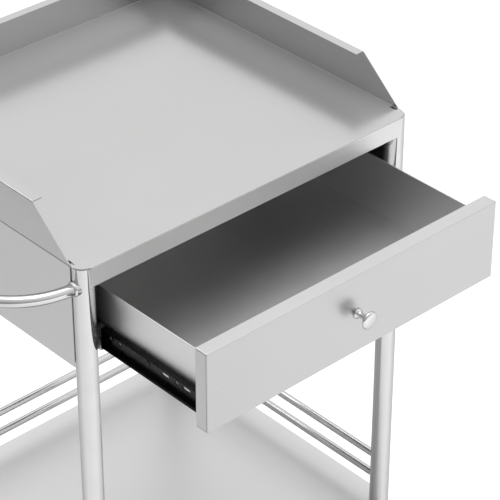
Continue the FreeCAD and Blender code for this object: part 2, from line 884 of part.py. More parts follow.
def seat_slide(thing, mirrored, shift):
    face = named("slide_inset")
    if mirrored:
        thing.Shape = thing.Shape.mirror(Vector(0, 0, 0), along_x)
        face = width - face
    place(thing, deck_left + face, deck_front - shift, deck_height - named("slide_centre"))
    return thing


# Fixed slide member, riveted to the runner channel.
def make_outer_member(label, mirrored):
    profile = rolled_section(1, -1, 0, slide_sheet)
    shape = profile.extrude(Vector(0, slide_length, 0))
    shape.translate(Vector(0, slide_setback, 0))
    for middle in housing_rivets():
        hole = float(named("rivet_diameter"))
        shape = shape.cut(slot_cutter(float(middle), hole, hole))
    thing = keep(doc.addObject("Part::Feature", label), label)
    thing.Shape = shape
    seat_slide(thing, mirrored, 0)


# Moving slide member, screwed to the drawer, with its two slots and round hole at the front.
def make_inner_member(label, mirrored):
    profile = rolled_section(-1, 1, slide_depth - slide_sheet, slide_depth)
    shape = profile.extrude(Vector(0, slide_length, 0))
    shape.translate(Vector(0, slide_setback, 0))
    height = float(named("slot_height"))
    for alias in ("slot_first", "slot_second"):
        middle = slide_setback + float(named(alias))
        shape = shape.cut(slot_cutter(middle, float(named("slot_length")), height))
    for alias in ("peg_hole_first", "peg_hole_second", "peg_hole_third"):
        middle = slide_setback + float(named(alias))
        shape = shape.cut(slot_cutter(middle, height, height))
    for middle in member_screws():
        hole = float(named("screw_diameter"))
        shape = shape.cut(slot_cutter(float(middle), hole, hole))
    thing = keep(doc.addObject("Part::Feature", label), label)
    thing.Shape = shape
    seat_slide(thing, mirrored, drawer_open)


# Ball cage: a C-shaped strip with two windows, which holds a row of balls above and below.
def make_ball_cage(side, mirrored):
    back = float(named("cage_back"))
    lip = float(named("cage_lip"))
    gauge = float(named("cage_sheet"))
    length = float(named("cage_length"))
    pitch = float(named("ball_pitch"))
    start = slide_setback + float(named("cage_setback"))
    half = ball_row + gauge / 2
    strip = Part.makeBox(lip - back, length, half * 2, Vector(back, start, -half))
    hollow = Part.makeBox(lip, length + 2, half * 2 - gauge * 2,
                          Vector(back + gauge, start - 1, gauge - half))
    strip = strip.cut(hollow)
    margin = pitch / 4
    window = length / 2 - margin * 2
    for first in (start + margin, start + length / 2 + margin):
        strip = strip.cut(Part.makeBox(gauge * 4, window, ball_row * 1.2,
                                       Vector(back - gauge, first, -ball_row * 0.6)))
    count = int((length - margin * 2) / pitch) + 1
    first_ball = start + (length - pitch * (count - 1)) / 2
    balls = []
    for index in range(count):
        for rise in (-ball_row, ball_row):
            centre = Vector(race_offset, first_ball + pitch * index, rise)
            hole = Part.makeCylinder(race_radius, gauge * 4, centre - Vector(0, 0, gauge * 2))
            strip = strip.cut(hole)
            balls.append(Part.makeSphere(ball_radius, centre))
    for label, shape in (("slide_cage_", strip), ("slide_balls_", Part.makeCompound(balls))):
        thing = keep(doc.addObject("Part::Feature", label + side), label + side)
        thing.Shape = shape
        seat_slide(thing, mirrored, drawer_open / 2)


# Low-headed fasteners through both slides' webs, left and right in one group.
# Starts and lengths run across the slide from its mounting face.
def make_slide_fasteners(label, diameter, places, shift, head_start, shank_start, shank_length):
    pieces = []
    head_length = named("rivet_head")
    height = deck_height - named("slide_centre")
    for mirrored in (False, True):
        face = named("slide_inset")
        head_near = face + head_start
        shank_near = face + shank_start
        if mirrored:
            head_near = width - head_near - head_length
            shank_near = width - shank_near - shank_length
        for middle in places:
            y = deck_front - shift + middle
            head = rod(diameter * 0.9, head_length, deck_left + head_near, y, height, turn_to_x)
            shank = rod(diameter / 2, shank_length, deck_left + shank_near, y, height, turn_to_x)
            pieces.append(fuse([head, shank]))
    keep(group(pieces), label)


# Casters, each drawn with its swivel axis on Z, the floor at zero and the wheel trailing to -X.
wheel_radius = named("wheel_diameter") / 2
axle_radius = named("axle_diameter") / 2
bore_radius = axle_radius + named("axle_clearance")
stem_radius = named("stem_diameter") / 2
fork_half = named("fork_gap") / 2
trail = -named("caster_offset")


def at_leg(spot):
    return deck_left + spot[0], deck_front + spot[1]


# Plug pressed into a leg's foot, with a flange under the tube and a bore for the stem.
def make_caster_plugs():
    plugs = []
    flange = named("plug_flange")
    for spot in leg_places.values():
        x, y = at_leg(spot)
        disc = rod(leg_radius, flange, x, y, cup_top)
        core = rod(leg_radius - named("leg_wall"), named("stem_reach"), x, y, leg_foot)
        bore = rod(stem_radius, named("stem_reach") + flange * 2, x, y, cup_top)
        plugs.append(cut(fuse([disc, core]), bore))
    keep(group(plugs), "caster_plugs")


# Stem with the rivet head that holds the fork from below.
def make_caster_stems():
    stems = []
    head_top = named("fork_top") - named("fork_sheet") - named("swivel_gap")
    head = named("stem_head")
    for spot in leg_places.values():
        x, y = at_leg(spot)
        disc = rod(stem_radius * 1.7, head, x, y, head_top - head)
        shank = rod(stem_radius, leg_foot + named("stem_reach") - head_top + head, x, y,
                    head_top - head)
        stems.append(fuse([disc, shank]))
    keep(group(stems), "caster_stems")


# Dished bearing cup between the plug's flange and the fork's crown.
def make_caster_cups():
    cups = []
    height = named("cup_height")
    rim = named("cup_rim")
    for spot in leg_places.values():
        x, y = at_leg(spot)
        skirt = rod(named("crown_radius"), rim, x, y, cup_bottom)
        dome = doc.addObject("Part::Cone", "dome")
        bind(dome, "Radius1", named("crown_radius"))
        bind(dome, "Radius2", stem_radius * 1.5)
        bind(dome, "Height", height - rim)
        place(dome, x, y, cup_bottom + rim)
        bore = rod(stem_radius, height, x, y, cup_bottom)
        cups.append(cut(fuse([skirt, dome]), bore))
    keep(group(cups), "caster_cups")


# Pressed fork: round crown, two side plates and, on a braked caster, ears for the pedal's pin.
def make_fork(label, spot, braked):
    body = new_body(label)
    top = named("fork_top")
    gauge = named("fork_sheet")
    outer = fork_half + gauge
    crown = named("crown_radius")
    nose = crown * 0.66
    rear = named("caster_offset") * 1.5
    if braked:
        rear = named("pedal_pivot_back") + named("pedal_ear")
    foot = named("fork_foot_radius")
    pad(body, "XY_Plane", top - gauge, gauge, [[
        (-named("caster_offset") * 1.3, -outer), (nose, -outer), (nose, outer),
        (-named("caster_offset") * 1.3, outer)]])
    pad(body, "XY_Plane", top - gauge, gauge, circles=[(0, 0, crown)])
    for start in (-outer, fork_half):
        pad(body, "XZ_Plane", start, gauge, [[
            (-rear, top), (nose, top), (nose, top - gauge * 4),
            (trail + foot, wheel_radius - foot), (trail - foot, wheel_radius - foot),
            (-rear, top - gauge * 5)]])
    round_edges(body, foot * 0.9, along_y, [(trail + foot, 0, wheel_radius - foot),
                                            (trail - foot, 0, wheel_radius - foot)])
    round_edges(body, gauge * 0.9, along_x, [(0, -outer, top), (0, outer, top)])
    holes = [(trail, wheel_radius, axle_radius)]
    if braked:
        holes.append((-named("pedal_pivot_back"), named("pedal_pivot_height"),
                      named("pedal_pin_diameter") / 2))
    pocket(body, "XZ_Plane", -outer - 1, outer * 2 + 2, circles=holes)
    pocket(body, "XY_Plane", top - gauge - 1, gauge + 2, circles=[
        (0, 0, stem_radius + named("axle_clearance"))])
    x, y = at_leg(spot)
    place(body, x, y, 0)


def seat_wheel_piece(body, spot):
    x, y = at_leg(spot)
    place(body, x + trail, y, wheel_radius, turn_to_y)


# Wheel centre: bored boss, thin disc and rim.
def make_hub(label, spot):
    body = new_body(label)
    half = named("wheel_width") / 2
    boss = half + named("boss_proud")
    rim = wheel_radius - named("tread_depth")
    revolve(body, [
        (bore_radius, -boss), (axle_radius * 2.3, -boss), (axle_radius * 2.6, -half * 0.3),
        (rim * 0.8, -half * 0.25), (rim * 0.87, -half * 0.8), (rim, -half * 0.8),
        (rim, half * 0.8), (rim * 0.87, half * 0.8), (rim * 0.8, half * 0.25),
        (axle_radius * 2.6, half * 0.3), (axle_radius * 2.3, boss), (bore_radius, boss)])
    seat_wheel_piece(body, spot)


# Rubber tread with bevelled shoulders, moulded on the rim.
def make_tread(label, spot):
    body = new_body(label)
    half = named("wheel_width") / 2
    rim = wheel_radius - named("tread_depth")
    shoulder = wheel_radius - named("tread_depth") * 0.35
    revolve(body, [
        (rim, -half * 0.8), (rim * 1.04, -half), (shoulder, -half), (wheel_radius, -half * 0.55),
        (wheel_radius, half * 0.55), (shoulder, half), (rim * 1.04, half), (rim, half * 0.8)])
    seat_wheel_piece(body, spot)


# Axle bolt with a hexagon head on one side of the fork and a nut on the other.
def make_axle(label, spot):
    x, y = at_leg(spot)
    outer = fork_half + named("fork_sheet")
    head = named("axle_head_height")
    shank = rod(axle_radius, (outer + head) * 2, x + trail, y - outer - head, wheel_radius,
                turn_to_y)
    pieces = [shank]
    for start in (y - outer - head, y + outer):
        prism = doc.addObject("Part::Prism", "hexagon")
        prism.Polygon = 6
        bind(prism, "Circumradius", named("axle_head") / 2 / math.cos(math.radians(30)))
        bind(prism, "Height", head)
        place(prism, x + trail, start, wheel_radius, turn_to_y)
        pieces.append(prism)
    keep(fuse(pieces), label)


# Brake pedal: a tongue to step on and a cam that closes on the tread.
def make_pedal(label, spot):
    body = new_body(label)
    half = fork_half - named("pedal_side_gap")
    cam = named("pedal_cam")
    tongue = named("pedal_tongue")
    pad(body, "XZ_Plane", -half, half * 2, [[
        (cam * 0.45, -cam * 0.3), (cam * 0.15, -cam * 0.99), (-cam * 0.4, -cam * 0.93),
        (-cam * 0.6, cam * 0.1), (-tongue, tongue * 0.42), (-tongue * 0.97, tongue * 0.5),
        (-cam * 0.3, cam * 0.55), (cam * 0.4, cam * 0.4)]])
    pocket(body, "XZ_Plane", -half - 1, half * 2 + 2, circles=[
        (0, 0, named("pedal_pin_diameter") / 2 + named("axle_clearance"))])
    x, y = at_leg(spot)
    place(body, x - named("pedal_pivot_back"), y, named("pedal_pivot_height"))


def make_pedal_pin(label, spot):
    x, y = at_leg(spot)
    half = fork_half + named("fork_sheet") + named("pedal_pin_proud")
    keep(rod(named("pedal_pin_diameter") / 2, half * 2, x - named("pedal_pivot_back"),
             y - half, named("pedal_pivot_height"), turn_to_y), label)


make_tray()
make_stiffener("deck_stiffener", named("deck_stiffener_gap"), deck_height - tray_sheet)
make_stiffener("shelf_stiffener", named("shelf_return") + 4,
               named("shelf_height") - named("shelf_sheet"))
for name, spot in leg_places.items():
    make_leg("leg_" + name, spot)
make_handle()
make_collars()
make_side_panel("side_panel_left", False)
make_side_panel("side_panel_right", True)
make_back_panel()
make_runner("runner_channel_left", False)
make_runner("runner_channel_right", True)
make_shelf()
for level in ("upper", "lower"):
    rise = named("rail_" + level + "_rise")
    make_rail("rail_back_" + level, leg_places["back_left"], leg_places["back_right"], rise)
    make_rail("rail_left_" + level, leg_places["front_left"], leg_places["back_left"], rise)
    make_rail("rail_right_" + level, leg_places["front_right"], leg_places["back_right"], rise)
make_drawer_front()
make_front_liner()
make_drawer_box()
make_drawer_end()
make_knob()
make_knob_screw()
for side, mirrored in (("left", False), ("right", True)):
    make_outer_member("slide_outer_" + side, mirrored)
    make_ball_cage(side, mirrored)
    make_inner_member("slide_inner_" + side, mirrored)
member_sheet = named("slide_sheet")
make_slide_fasteners("slide_rivets", named("rivet_diameter"), housing_rivets(), 0,
                     member_sheet, -named("runner_sheet"), named("runner_sheet") + member_sheet)
make_slide_fasteners("slide_screws", named("screw_diameter"), member_screws(), drawer_open,
                     named("slide_depth") - member_sheet - named("rivet_head"),
                     named("slide_depth") - member_sheet, member_sheet + named("box_sheet"))
make_caster_plugs()
make_caster_stems()
make_caster_cups()
for name, spot in leg_places.items():
    braked = name.endswith("left")
    make_fork("caster_fork_" + name, spot, braked)
    make_hub("wheel_hub_" + name, spot)
    make_tread("wheel_tread_" + name, spot)
    make_axle("wheel_axle_" + name, spot)
    if braked:
        make_pedal("brake_pedal_" + name, spot)
        make_pedal_pin("brake_pin_" + name, spot)
doc.recompute()

for thing in doc.Objects:
    if "Invalid" in thing.State or "Error" in thing.State:
        raise RuntimeError(thing.Label + " failed: " + str(thing.State))
for thing in sub_parts:
    if thing.Shape.isNull() or not thing.Shape.isValid():
        raise RuntimeError(thing.Label + " has no valid shape")

os.makedirs("parts", exist_ok=True)
for thing in sub_parts:
    thing.Shape.exportStep("parts/" + thing.Label + ".step")
print(len(sub_parts), "sub-parts written")
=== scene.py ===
import json
import math

import bmesh
import bpy
from mathutils import Matrix, Vector

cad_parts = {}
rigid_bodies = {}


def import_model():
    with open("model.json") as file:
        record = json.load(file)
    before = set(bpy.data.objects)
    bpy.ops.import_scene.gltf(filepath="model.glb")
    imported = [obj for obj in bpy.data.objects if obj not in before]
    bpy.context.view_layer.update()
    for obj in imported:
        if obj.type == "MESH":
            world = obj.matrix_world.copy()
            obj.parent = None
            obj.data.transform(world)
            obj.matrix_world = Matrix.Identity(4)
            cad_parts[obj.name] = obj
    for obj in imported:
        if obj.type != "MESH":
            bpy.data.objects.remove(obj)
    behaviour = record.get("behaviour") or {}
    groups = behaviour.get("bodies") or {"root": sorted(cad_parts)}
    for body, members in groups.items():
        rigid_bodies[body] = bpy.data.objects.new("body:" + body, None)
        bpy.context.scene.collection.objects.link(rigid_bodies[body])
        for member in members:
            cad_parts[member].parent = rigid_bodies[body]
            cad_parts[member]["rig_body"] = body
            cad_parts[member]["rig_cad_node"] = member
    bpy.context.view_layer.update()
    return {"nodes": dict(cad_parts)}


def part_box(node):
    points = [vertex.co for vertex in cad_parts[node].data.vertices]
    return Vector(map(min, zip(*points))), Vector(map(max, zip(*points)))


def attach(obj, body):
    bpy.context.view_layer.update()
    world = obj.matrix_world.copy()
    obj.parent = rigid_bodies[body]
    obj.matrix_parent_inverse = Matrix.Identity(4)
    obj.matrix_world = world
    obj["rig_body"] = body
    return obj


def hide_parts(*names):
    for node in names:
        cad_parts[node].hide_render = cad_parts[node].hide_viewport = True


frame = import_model()
print("frame loaded:", len(frame["nodes"]), "nodes")

mm = 0.001  # the dictionaries below give sizes in mm and angles in degrees
tolerance = {"near": 0.05, "cut": 0.01, "weld": 0.005, "cadWeld": 0.002}
acrossX = Vector((1, 0, 0))
acrossY = Vector((0, 1, 0))
upZ = Vector((0, 0, 1))
corners = ("front_left", "front_right", "back_left", "back_right")


# small helpers for modelling by hand

def deselectAll():
    if bpy.context.mode != "OBJECT":
        bpy.ops.object.mode_set(mode="OBJECT")
    bpy.ops.object.select_all(action="DESELECT")


def pickUp(piece):
    deselectAll()
    piece.select_set(True)
    bpy.context.view_layer.objects.active = piece


def editMode(piece, kind="EDGE"):
    pickUp(piece)
    bpy.ops.object.mode_set(mode="EDIT")
    bpy.ops.mesh.select_mode(type=kind)
    bpy.ops.mesh.select_all(action="DESELECT")


def objectMode():
    bpy.ops.object.mode_set(mode="OBJECT")


def settle(piece, name):  # name a fresh primitive and put its place in its mesh
    piece.name = name
    piece.data.name = name
    pickUp(piece)
    bpy.ops.object.transform_apply(location=True, rotation=True, scale=True)
    return piece


def middleOf(part):
    if isinstance(part, bmesh.types.BMVert):
        return part.co
    return sum((v.co for v in part.verts), Vector()) / len(part.verts)


def runOf(edge):
    return (edge.verts[1].co - edge.verts[0].co).normalized()


def select(piece, kind, test):  # in edit mode: picks vertices, edges or faces by a test
    bpy.ops.mesh.select_mode(type=kind)
    bpy.ops.mesh.select_all(action="DESELECT")
    mesh = bmesh.from_edit_mesh(piece.data)
    parts = {"VERT": mesh.verts, "EDGE": mesh.edges, "FACE": mesh.faces}[kind]
    picked = [part for part in parts if test(part)]
    if not picked:
        raise RuntimeError(piece.name + ": nothing picked")
    for part in picked:
        part.select_set(True)
    mesh.select_flush_mode()
    bmesh.update_edit_mesh(piece.data)


def folded(edge):  # two faces of a sheet that meet at more than 0.5 radian
    return len(edge.link_faces) == 2 and edge.calc_face_angle(0) > 0.5


def near(value, target, slack=tolerance["near"] * mm):
    return abs(value - target) < slack


def move(step):
    bpy.ops.transform.translate(value=step)


def pull(step):  # extrudes the picked edges by a step
    bpy.ops.mesh.extrude_edges_move(TRANSFORM_OT_translate={"value": step})


def roundPicked(radius, segments):
    bpy.ops.mesh.bevel(offset_type="OFFSET", offset=radius, segments=segments, profile=0.5,
                       affect="EDGES", clamp_overlap=False)


def cutPlane(piece, point, normal, test=lambda face: True):  # cuts the faces that a test picks
    select(piece, "FACE", test)
    bpy.ops.mesh.bisect(plane_co=point, plane_no=normal, threshold=tolerance["cut"] * mm)


def applyModifier(piece, kind, **settings):
    pickUp(piece)
    modifier = piece.modifiers.new(kind.title(), kind)
    for key, value in settings.items():
        setattr(modifier, key, value)
    bpy.ops.object.modifier_apply(modifier=modifier.name)


def outward(piece):  # welds the mesh and turns its faces outwards
    editMode(piece, "FACE")
    bpy.ops.mesh.select_all(action="SELECT")
    bpy.ops.mesh.remove_doubles(threshold=tolerance["weld"] * mm)
    bpy.ops.mesh.normals_make_consistent(inside=False)
    objectMode()


def faceUp(piece, wanted):  # turns an open sheet over if its biggest face looks the wrong way
    biggest = max(piece.data.polygons, key=lambda face: face.area)
    if biggest.normal.dot(wanted) < 0:
        editMode(piece, "FACE")
        bpy.ops.mesh.select_all(action="SELECT")
        bpy.ops.mesh.flip_normals()
        objectMode()


def smooth(piece, degrees=35):
    pickUp(piece)
    bpy.ops.object.shade_smooth_by_angle(angle=math.radians(degrees))
    applyModifier(piece, "WEIGHTED_NORMAL", keep_sharp=True)


def join(pieces):
    deselectAll()
    for piece in pieces:
        piece.select_set(True)
    bpy.context.view_layer.objects.active = pieces[0]
    bpy.ops.object.join()
    return pieces[0]


def startPoint(name, place):
    deselectAll()
    bpy.ops.mesh.primitive_circle_add(vertices=3, radius=mm, location=place)
    piece = settle(bpy.context.object, name)
    editMode(piece, "VERT")
    bpy.ops.mesh.select_all(action="SELECT")
    bpy.ops.mesh.merge(type="CENTER")
    return piece


def turned(name, base, axis, profile, steps):
    # profile: (radius, distance along the axis) in mm, turned once round the axis
    base, axis = Vector(base), Vector(axis)
    side = axis.orthogonal().normalized()
    points = [base + side * r * mm + axis * a * mm for r, a in profile]
    piece = startPoint(name, points[0])
    for before, after in zip(points, points[1:]):
        bpy.ops.mesh.extrude_vertices_move(TRANSFORM_OT_translate={"value": after - before})
    bpy.ops.mesh.select_all(action="SELECT")
    bpy.ops.mesh.spin(steps=steps, dupli=False, angle=math.tau, center=base, axis=axis)
    objectMode()
    outward(piece)
    smooth(piece)
    return piece


def foldedStrip(name, points, run):
    # a chain of points pulled out sideways into a strip of sheet with no thickness yet
    points = [Vector(p) for p in points]
    piece = startPoint(name, points[0])
    for before, after in zip(points, points[1:]):
        bpy.ops.mesh.extrude_vertices_move(TRANSFORM_OT_translate={"value": after - before})
    bpy.ops.mesh.select_all(action="SELECT")
    pull(run)
    objectMode()
    return piece


def startPanel(name, centre, size):
    deselectAll()
    bpy.ops.mesh.primitive_plane_add(size=1, location=centre)
    piece = bpy.context.object
    piece.scale = (size[0], size[1], 1)
    return settle(piece, name)


def startBlock(name, low, high):
    deselectAll()
    low, high = Vector(low), Vector(high)
    bpy.ops.mesh.primitive_cube_add(size=1, location=(low + high) / 2)
    piece = bpy.context.object
    piece.scale = high - low
    return settle(piece, name)


def breakEdges(piece, edge, segments=2, sharp=50):  # bevels the edges sharper than an angle
    applyModifier(piece, "BEVEL", width=edge * mm, segments=segments, limit_method="ANGLE",
                  angle_limit=math.radians(sharp), use_clamp_overlap=True)


def thicken(piece, gauge, offset, edge):  # sheet thickness and broken edges
    applyModifier(piece, "SOLIDIFY", thickness=gauge * mm, offset=offset, use_even_offset=True,
                  use_quality_normals=True)
    breakEdges(piece, edge)


def finishPiece(piece, body, material, slot, *nodes):
    piece.data.materials.clear()
    piece.data.materials.append(material)
    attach(piece, body)
    if nodes:
        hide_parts(*nodes)


def paintFaces(piece, material, test):  # one more finish, on the faces that a test picks
    piece.data.materials.append(material)
    for face in piece.data.polygons:
        if test(face):
            face.material_index = len(piece.data.materials) - 1


cadCopy = {"flatBelow": 1.0, "smoothBelow": 30}


def refined(node, name):
    # a merged copy of a CAD node, with its flat faces whole again and its curves smooth
    pickUp(frame["nodes"][node])
    bpy.ops.object.duplicate(linked=False)
    piece = bpy.context.object
    piece.parent = None
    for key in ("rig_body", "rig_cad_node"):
        if key in piece:
            del piece[key]
    piece.matrix_world = Matrix.Identity(4)
    piece.name = name
    piece.data.name = name
    if piece.data.has_custom_normals:
        bpy.ops.mesh.customdata_custom_splitnormals_clear()
    editMode(piece, "FACE")
    bpy.ops.mesh.select_all(action="SELECT")
    bpy.ops.mesh.remove_doubles(threshold=tolerance["cadWeld"] * mm)
    bpy.ops.mesh.dissolve_limited(angle_limit=math.radians(cadCopy["flatBelow"]))
    objectMode()
    smooth(piece, cadCopy["smoothBelow"])
    return piece


# materials

def newMaterial(name):
    material = bpy.data.materials.new(name)
    material.use_nodes = True
    nodes = material.node_tree.nodes
    return material, nodes, material.node_tree.links, nodes["Principled BSDF"]


def objectPattern(nodes, links, scale):  # object coordinates, stretched
    place = nodes.new("ShaderNodeTexCoord")
    mapping = nodes.new("ShaderNodeMapping")
    mapping.inputs["Scale"].default_value = scale
    links.new(place.outputs["Object"], mapping.inputs["Vector"])
    return mapping.outputs["Vector"]


def noise(nodes, links, vector, scale, detail, roughness):
    texture = nodes.new("ShaderNodeTexNoise")
    texture.inputs["Scale"].default_value = scale
    texture.inputs["Detail"].default_value = detail
    texture.inputs["Roughness"].default_value = roughness
    links.new(vector, texture.inputs["Vector"])
    return texture.outputs["Fac"]


def spread(nodes, links, value, low, high, fromLow=0.3, fromHigh=0.7):
    # the middle part of a value stretched to a range, its ends held
    ranger = nodes.new("ShaderNodeMapRange")
    ranger.inputs["From Min"].default_value = fromLow
    ranger.inputs["From Max"].default_value = fromHigh
    ranger.inputs["To Min"].default_value = low
    ranger.inputs["To Max"].default_value = high
    links.new(value, ranger.inputs["Value"])
    return ranger.outputs["Result"]


def combine(nodes, links, operation, first, second):
    maths = nodes.new("ShaderNodeMath")
    maths.operation = operation
    for socket, value in zip(maths.inputs, (first, second)):
        if isinstance(value, (int, float)):
            socket.default_value = value
        else:
            links.new(value, socket)
    return maths.outputs[0]


def tint(nodes, links, factor, dark, light):
    mixer = nodes.new("ShaderNodeMix")
    mixer.data_type = "RGBA"
    links.new(factor, mixer.inputs["Factor"])
    mixer.inputs["A"].default_value = (*dark, 1)
    mixer.inputs["B"].default_value = (*light, 1)
    return mixer.outputs["Result"]


def roughen(nodes, links, shader, height, strength, distance):
    bump = nodes.new("ShaderNodeBump")
    bump.inputs["Strength"].default_value = strength
    bump.inputs["Distance"].default_value = distance
    links.new(height, bump.inputs["Height"])
    links.new(bump.outputs["Normal"], shader.inputs["Normal"])


def makeSteel(name, look):
    # stretched fine noise for the grain, broad soft noise for handling marks
    material, nodes, links, shader = newMaterial(name)
    shader.inputs["Metallic"].default_value = look.get("metallic", 1.0)
    grain = noise(nodes, links, objectPattern(nodes, links, look["grainScale"]),
                  scale=1.0, detail=3.0, roughness=0.7)
    marks = noise(nodes, links, objectPattern(nodes, links, (1, 1, 1)),
                  scale=look["markScale"], detail=2.0, roughness=0.5)
    color = tint(nodes, links, spread(nodes, links, marks, 0, 1), look["dark"], look["light"])
    # painted shade towards the outlines
    if "rim" in look:
        color = paintedOutlineShade(nodes, links, color, look["rim"])
    links.new(color, shader.inputs["Base Color"])
    low, high = look["roughness"]
    base = spread(nodes, links, marks, low, high)
    links.new(combine(nodes, links, "ADD", base,
                      spread(nodes, links, grain, -look["grainRough"], look["grainRough"])),
              shader.inputs["Roughness"])
    roughen(nodes, links, shader, grain, look["grainBump"], look["grainDepth"])
    if "brushed" in look:
        shader.inputs["Anisotropic"].default_value = look["brushed"]
        links.new(brushTangent(nodes, links), shader.inputs["Tangent"])
    return material


def paintedOutlineShade(nodes, links, color, depth):  # painted shade: round tubes darken towards their outlines
    facing = nodes.new("ShaderNodeLayerWeight")
    facing.inputs["Blend"].default_value = 0.5
    scaled = nodes.new("ShaderNodeVectorMath")
    scaled.operation = "SCALE"
    links.new(color, scaled.inputs[0])
    links.new(spread(nodes, links, facing.outputs["Facing"], 1, 1 - depth),
              scaled.inputs["Scale"])
    return scaled.outputs["Vector"]


def brushTangent(nodes, links):
    # brushed along X, or along Y on faces that look along X, so reflections smear across that
    surface = nodes.new("ShaderNodeNewGeometry")
    axes = nodes.new("ShaderNodeSeparateXYZ")
    links.new(surface.outputs["Normal"], axes.inputs["Vector"])
    alongY = combine(nodes, links, "GREATER_THAN",
                     combine(nodes, links, "ABSOLUTE", axes.outputs["X"], 0), 0.7)
    groove = nodes.new("ShaderNodeCombineXYZ")
    links.new(combine(nodes, links, "SUBTRACT", 1, alongY), groove.inputs["X"])
    links.new(alongY, groove.inputs["Y"])
    cross = nodes.new("ShaderNodeVectorMath")
    cross.operation = "CROSS_PRODUCT"
    links.new(surface.outputs["Normal"], cross.inputs[0])
    links.new(groove.outputs["Vector"], cross.inputs[1])
    return cross.outputs["Vector"]


satinLook = {
    "dark": (0.660, 0.660, 0.658),
    "light": (0.685, 0.685, 0.683),
    "roughness": (0.29, 0.32),
    "markScale": 5.0,
    "grainScale": (1800, 90, 1800),
    "grainRough": 0.02,
    "grainBump": 0.02,
    "grainDepth": 0.00001,  # metres
}
acrossLook = dict(satinLook, grainScale=(90, 1800, 1800))
satinAcross = makeSteel("satinSteelAcross", acrossLook)
# painted shade: a darker copy of the deck's steel for the guards' upright faces
satinGuardShaded = makeSteel("satinSteelGuardShaded", dict(
    acrossLook, dark=(0.52, 0.52, 0.518), light=(0.545, 0.545, 0.543),
    roughness=(0.24, 0.26), brushed=0.5, grainBump=0.006))
satinDeck = makeSteel("satinSteelDeck", dict(
    acrossLook, roughness=(0.20, 0.22), brushed=0.5, metallic=0.65, grainBump=0.006))
# painted shade: a darker, rougher copy of the steel for undersides and insides
satinShadedUnder = makeSteel("satinSteelShadedUnder", dict(
    acrossLook, dark=(0.30, 0.30, 0.298), light=(0.36, 0.36, 0.357), roughness=(0.55, 0.62)))
# painted light: a lighter, duller copy of the deck's steel for the apron
satinApronLit = makeSteel("satinSteelApronLit", dict(
    acrossLook, dark=(0.80, 0.80, 0.798), light=(0.83, 0.83, 0.828), roughness=(0.50, 0.54)))
satinFront = makeSteel("satinSteelFront", dict(
    acrossLook, dark=(0.575, 0.575, 0.573), light=(0.60, 0.60, 0.598)))
# painted highlight: a lighter copy of the steel for the drawer front's top band
satinTopHighlight = makeSteel("satinSteelTopHighlight", dict(
    acrossLook, dark=(0.71, 0.71, 0.708), light=(0.735, 0.735, 0.733)))
satinPanel = makeSteel("satinSteelPanel", dict(
    satinLook, dark=(0.60, 0.60, 0.598), light=(0.625, 0.625, 0.623)))
satinBox = makeSteel("satinSteelBox", dict(
    satinLook, dark=(0.82, 0.82, 0.818), light=(0.85, 0.85, 0.848), roughness=(0.45, 0.49)))
satinShelf = makeSteel("satinSteelShelf", dict(
    acrossLook, dark=(0.74, 0.74, 0.738), light=(0.77, 0.77, 0.768), roughness=(0.35, 0.39)))
tubeLook = {
    "metallic": 0.8,
    # painted shade towards the outlines, also on the knob and the balls
    "rim": 0.5,
    "dark": (0.815, 0.815, 0.813),
    "light": (0.850, 0.850, 0.848),
    "roughness": (0.055, 0.085),
    "markScale": 30.0,
    "grainScale": (900, 900, 900),
    "grainRough": 0.008,
    "grainBump": 0.04,
    "grainDepth": 0.00001,
}
polishedTube = makeSteel("polishedTube", tubeLook)
knobChrome = makeSteel("knobChrome", dict(
    tubeLook, dark=(0.84, 0.84, 0.84), light=(0.88, 0.88, 0.88), roughness=(0.02, 0.04),
    grainBump=0.0))
zincPlate = makeSteel("zincPlate", {
    "dark": (0.52, 0.53, 0.54),
    "light": (0.62, 0.63, 0.645),
    "roughness": (0.26, 0.38),
    "markScale": 120.0,
    "grainScale": (700, 700, 700),
    "grainRough": 0.03,
    "grainBump": 0.12,
    "grainDepth": 0.00003,
})
ballSteel = makeSteel("ballSteel", dict(tubeLook, roughness=(0.03, 0.06), grainBump=0.0))


def makeCoat(name, look):
    # paint, nylon or rubber: a dull base with fine skin texture and worn, dusty patches
    material, nodes, links, shader = newMaterial(name)
    shader.inputs["Specular IOR Level"].default_value = look.get("specular", 0.5)
    skin = noise(nodes, links, objectPattern(nodes, links, (1, 1, 1)),
                 scale=look["skinScale"], detail=3.0, roughness=0.6)
    marks = noise(nodes, links, objectPattern(nodes, links, (1, 1, 1)),
                  scale=look["markScale"], detail=3.0, roughness=0.6)
    links.new(tint(nodes, links, spread(nodes, links, marks, 0, 1), look["dark"], look["light"]),
              shader.inputs["Base Color"])
    low, high = look["roughness"]
    links.new(spread(nodes, links, marks, low, high), shader.inputs["Roughness"])
    roughen(nodes, links, shader, skin, look["skinBump"], look["skinDepth"])
    return material


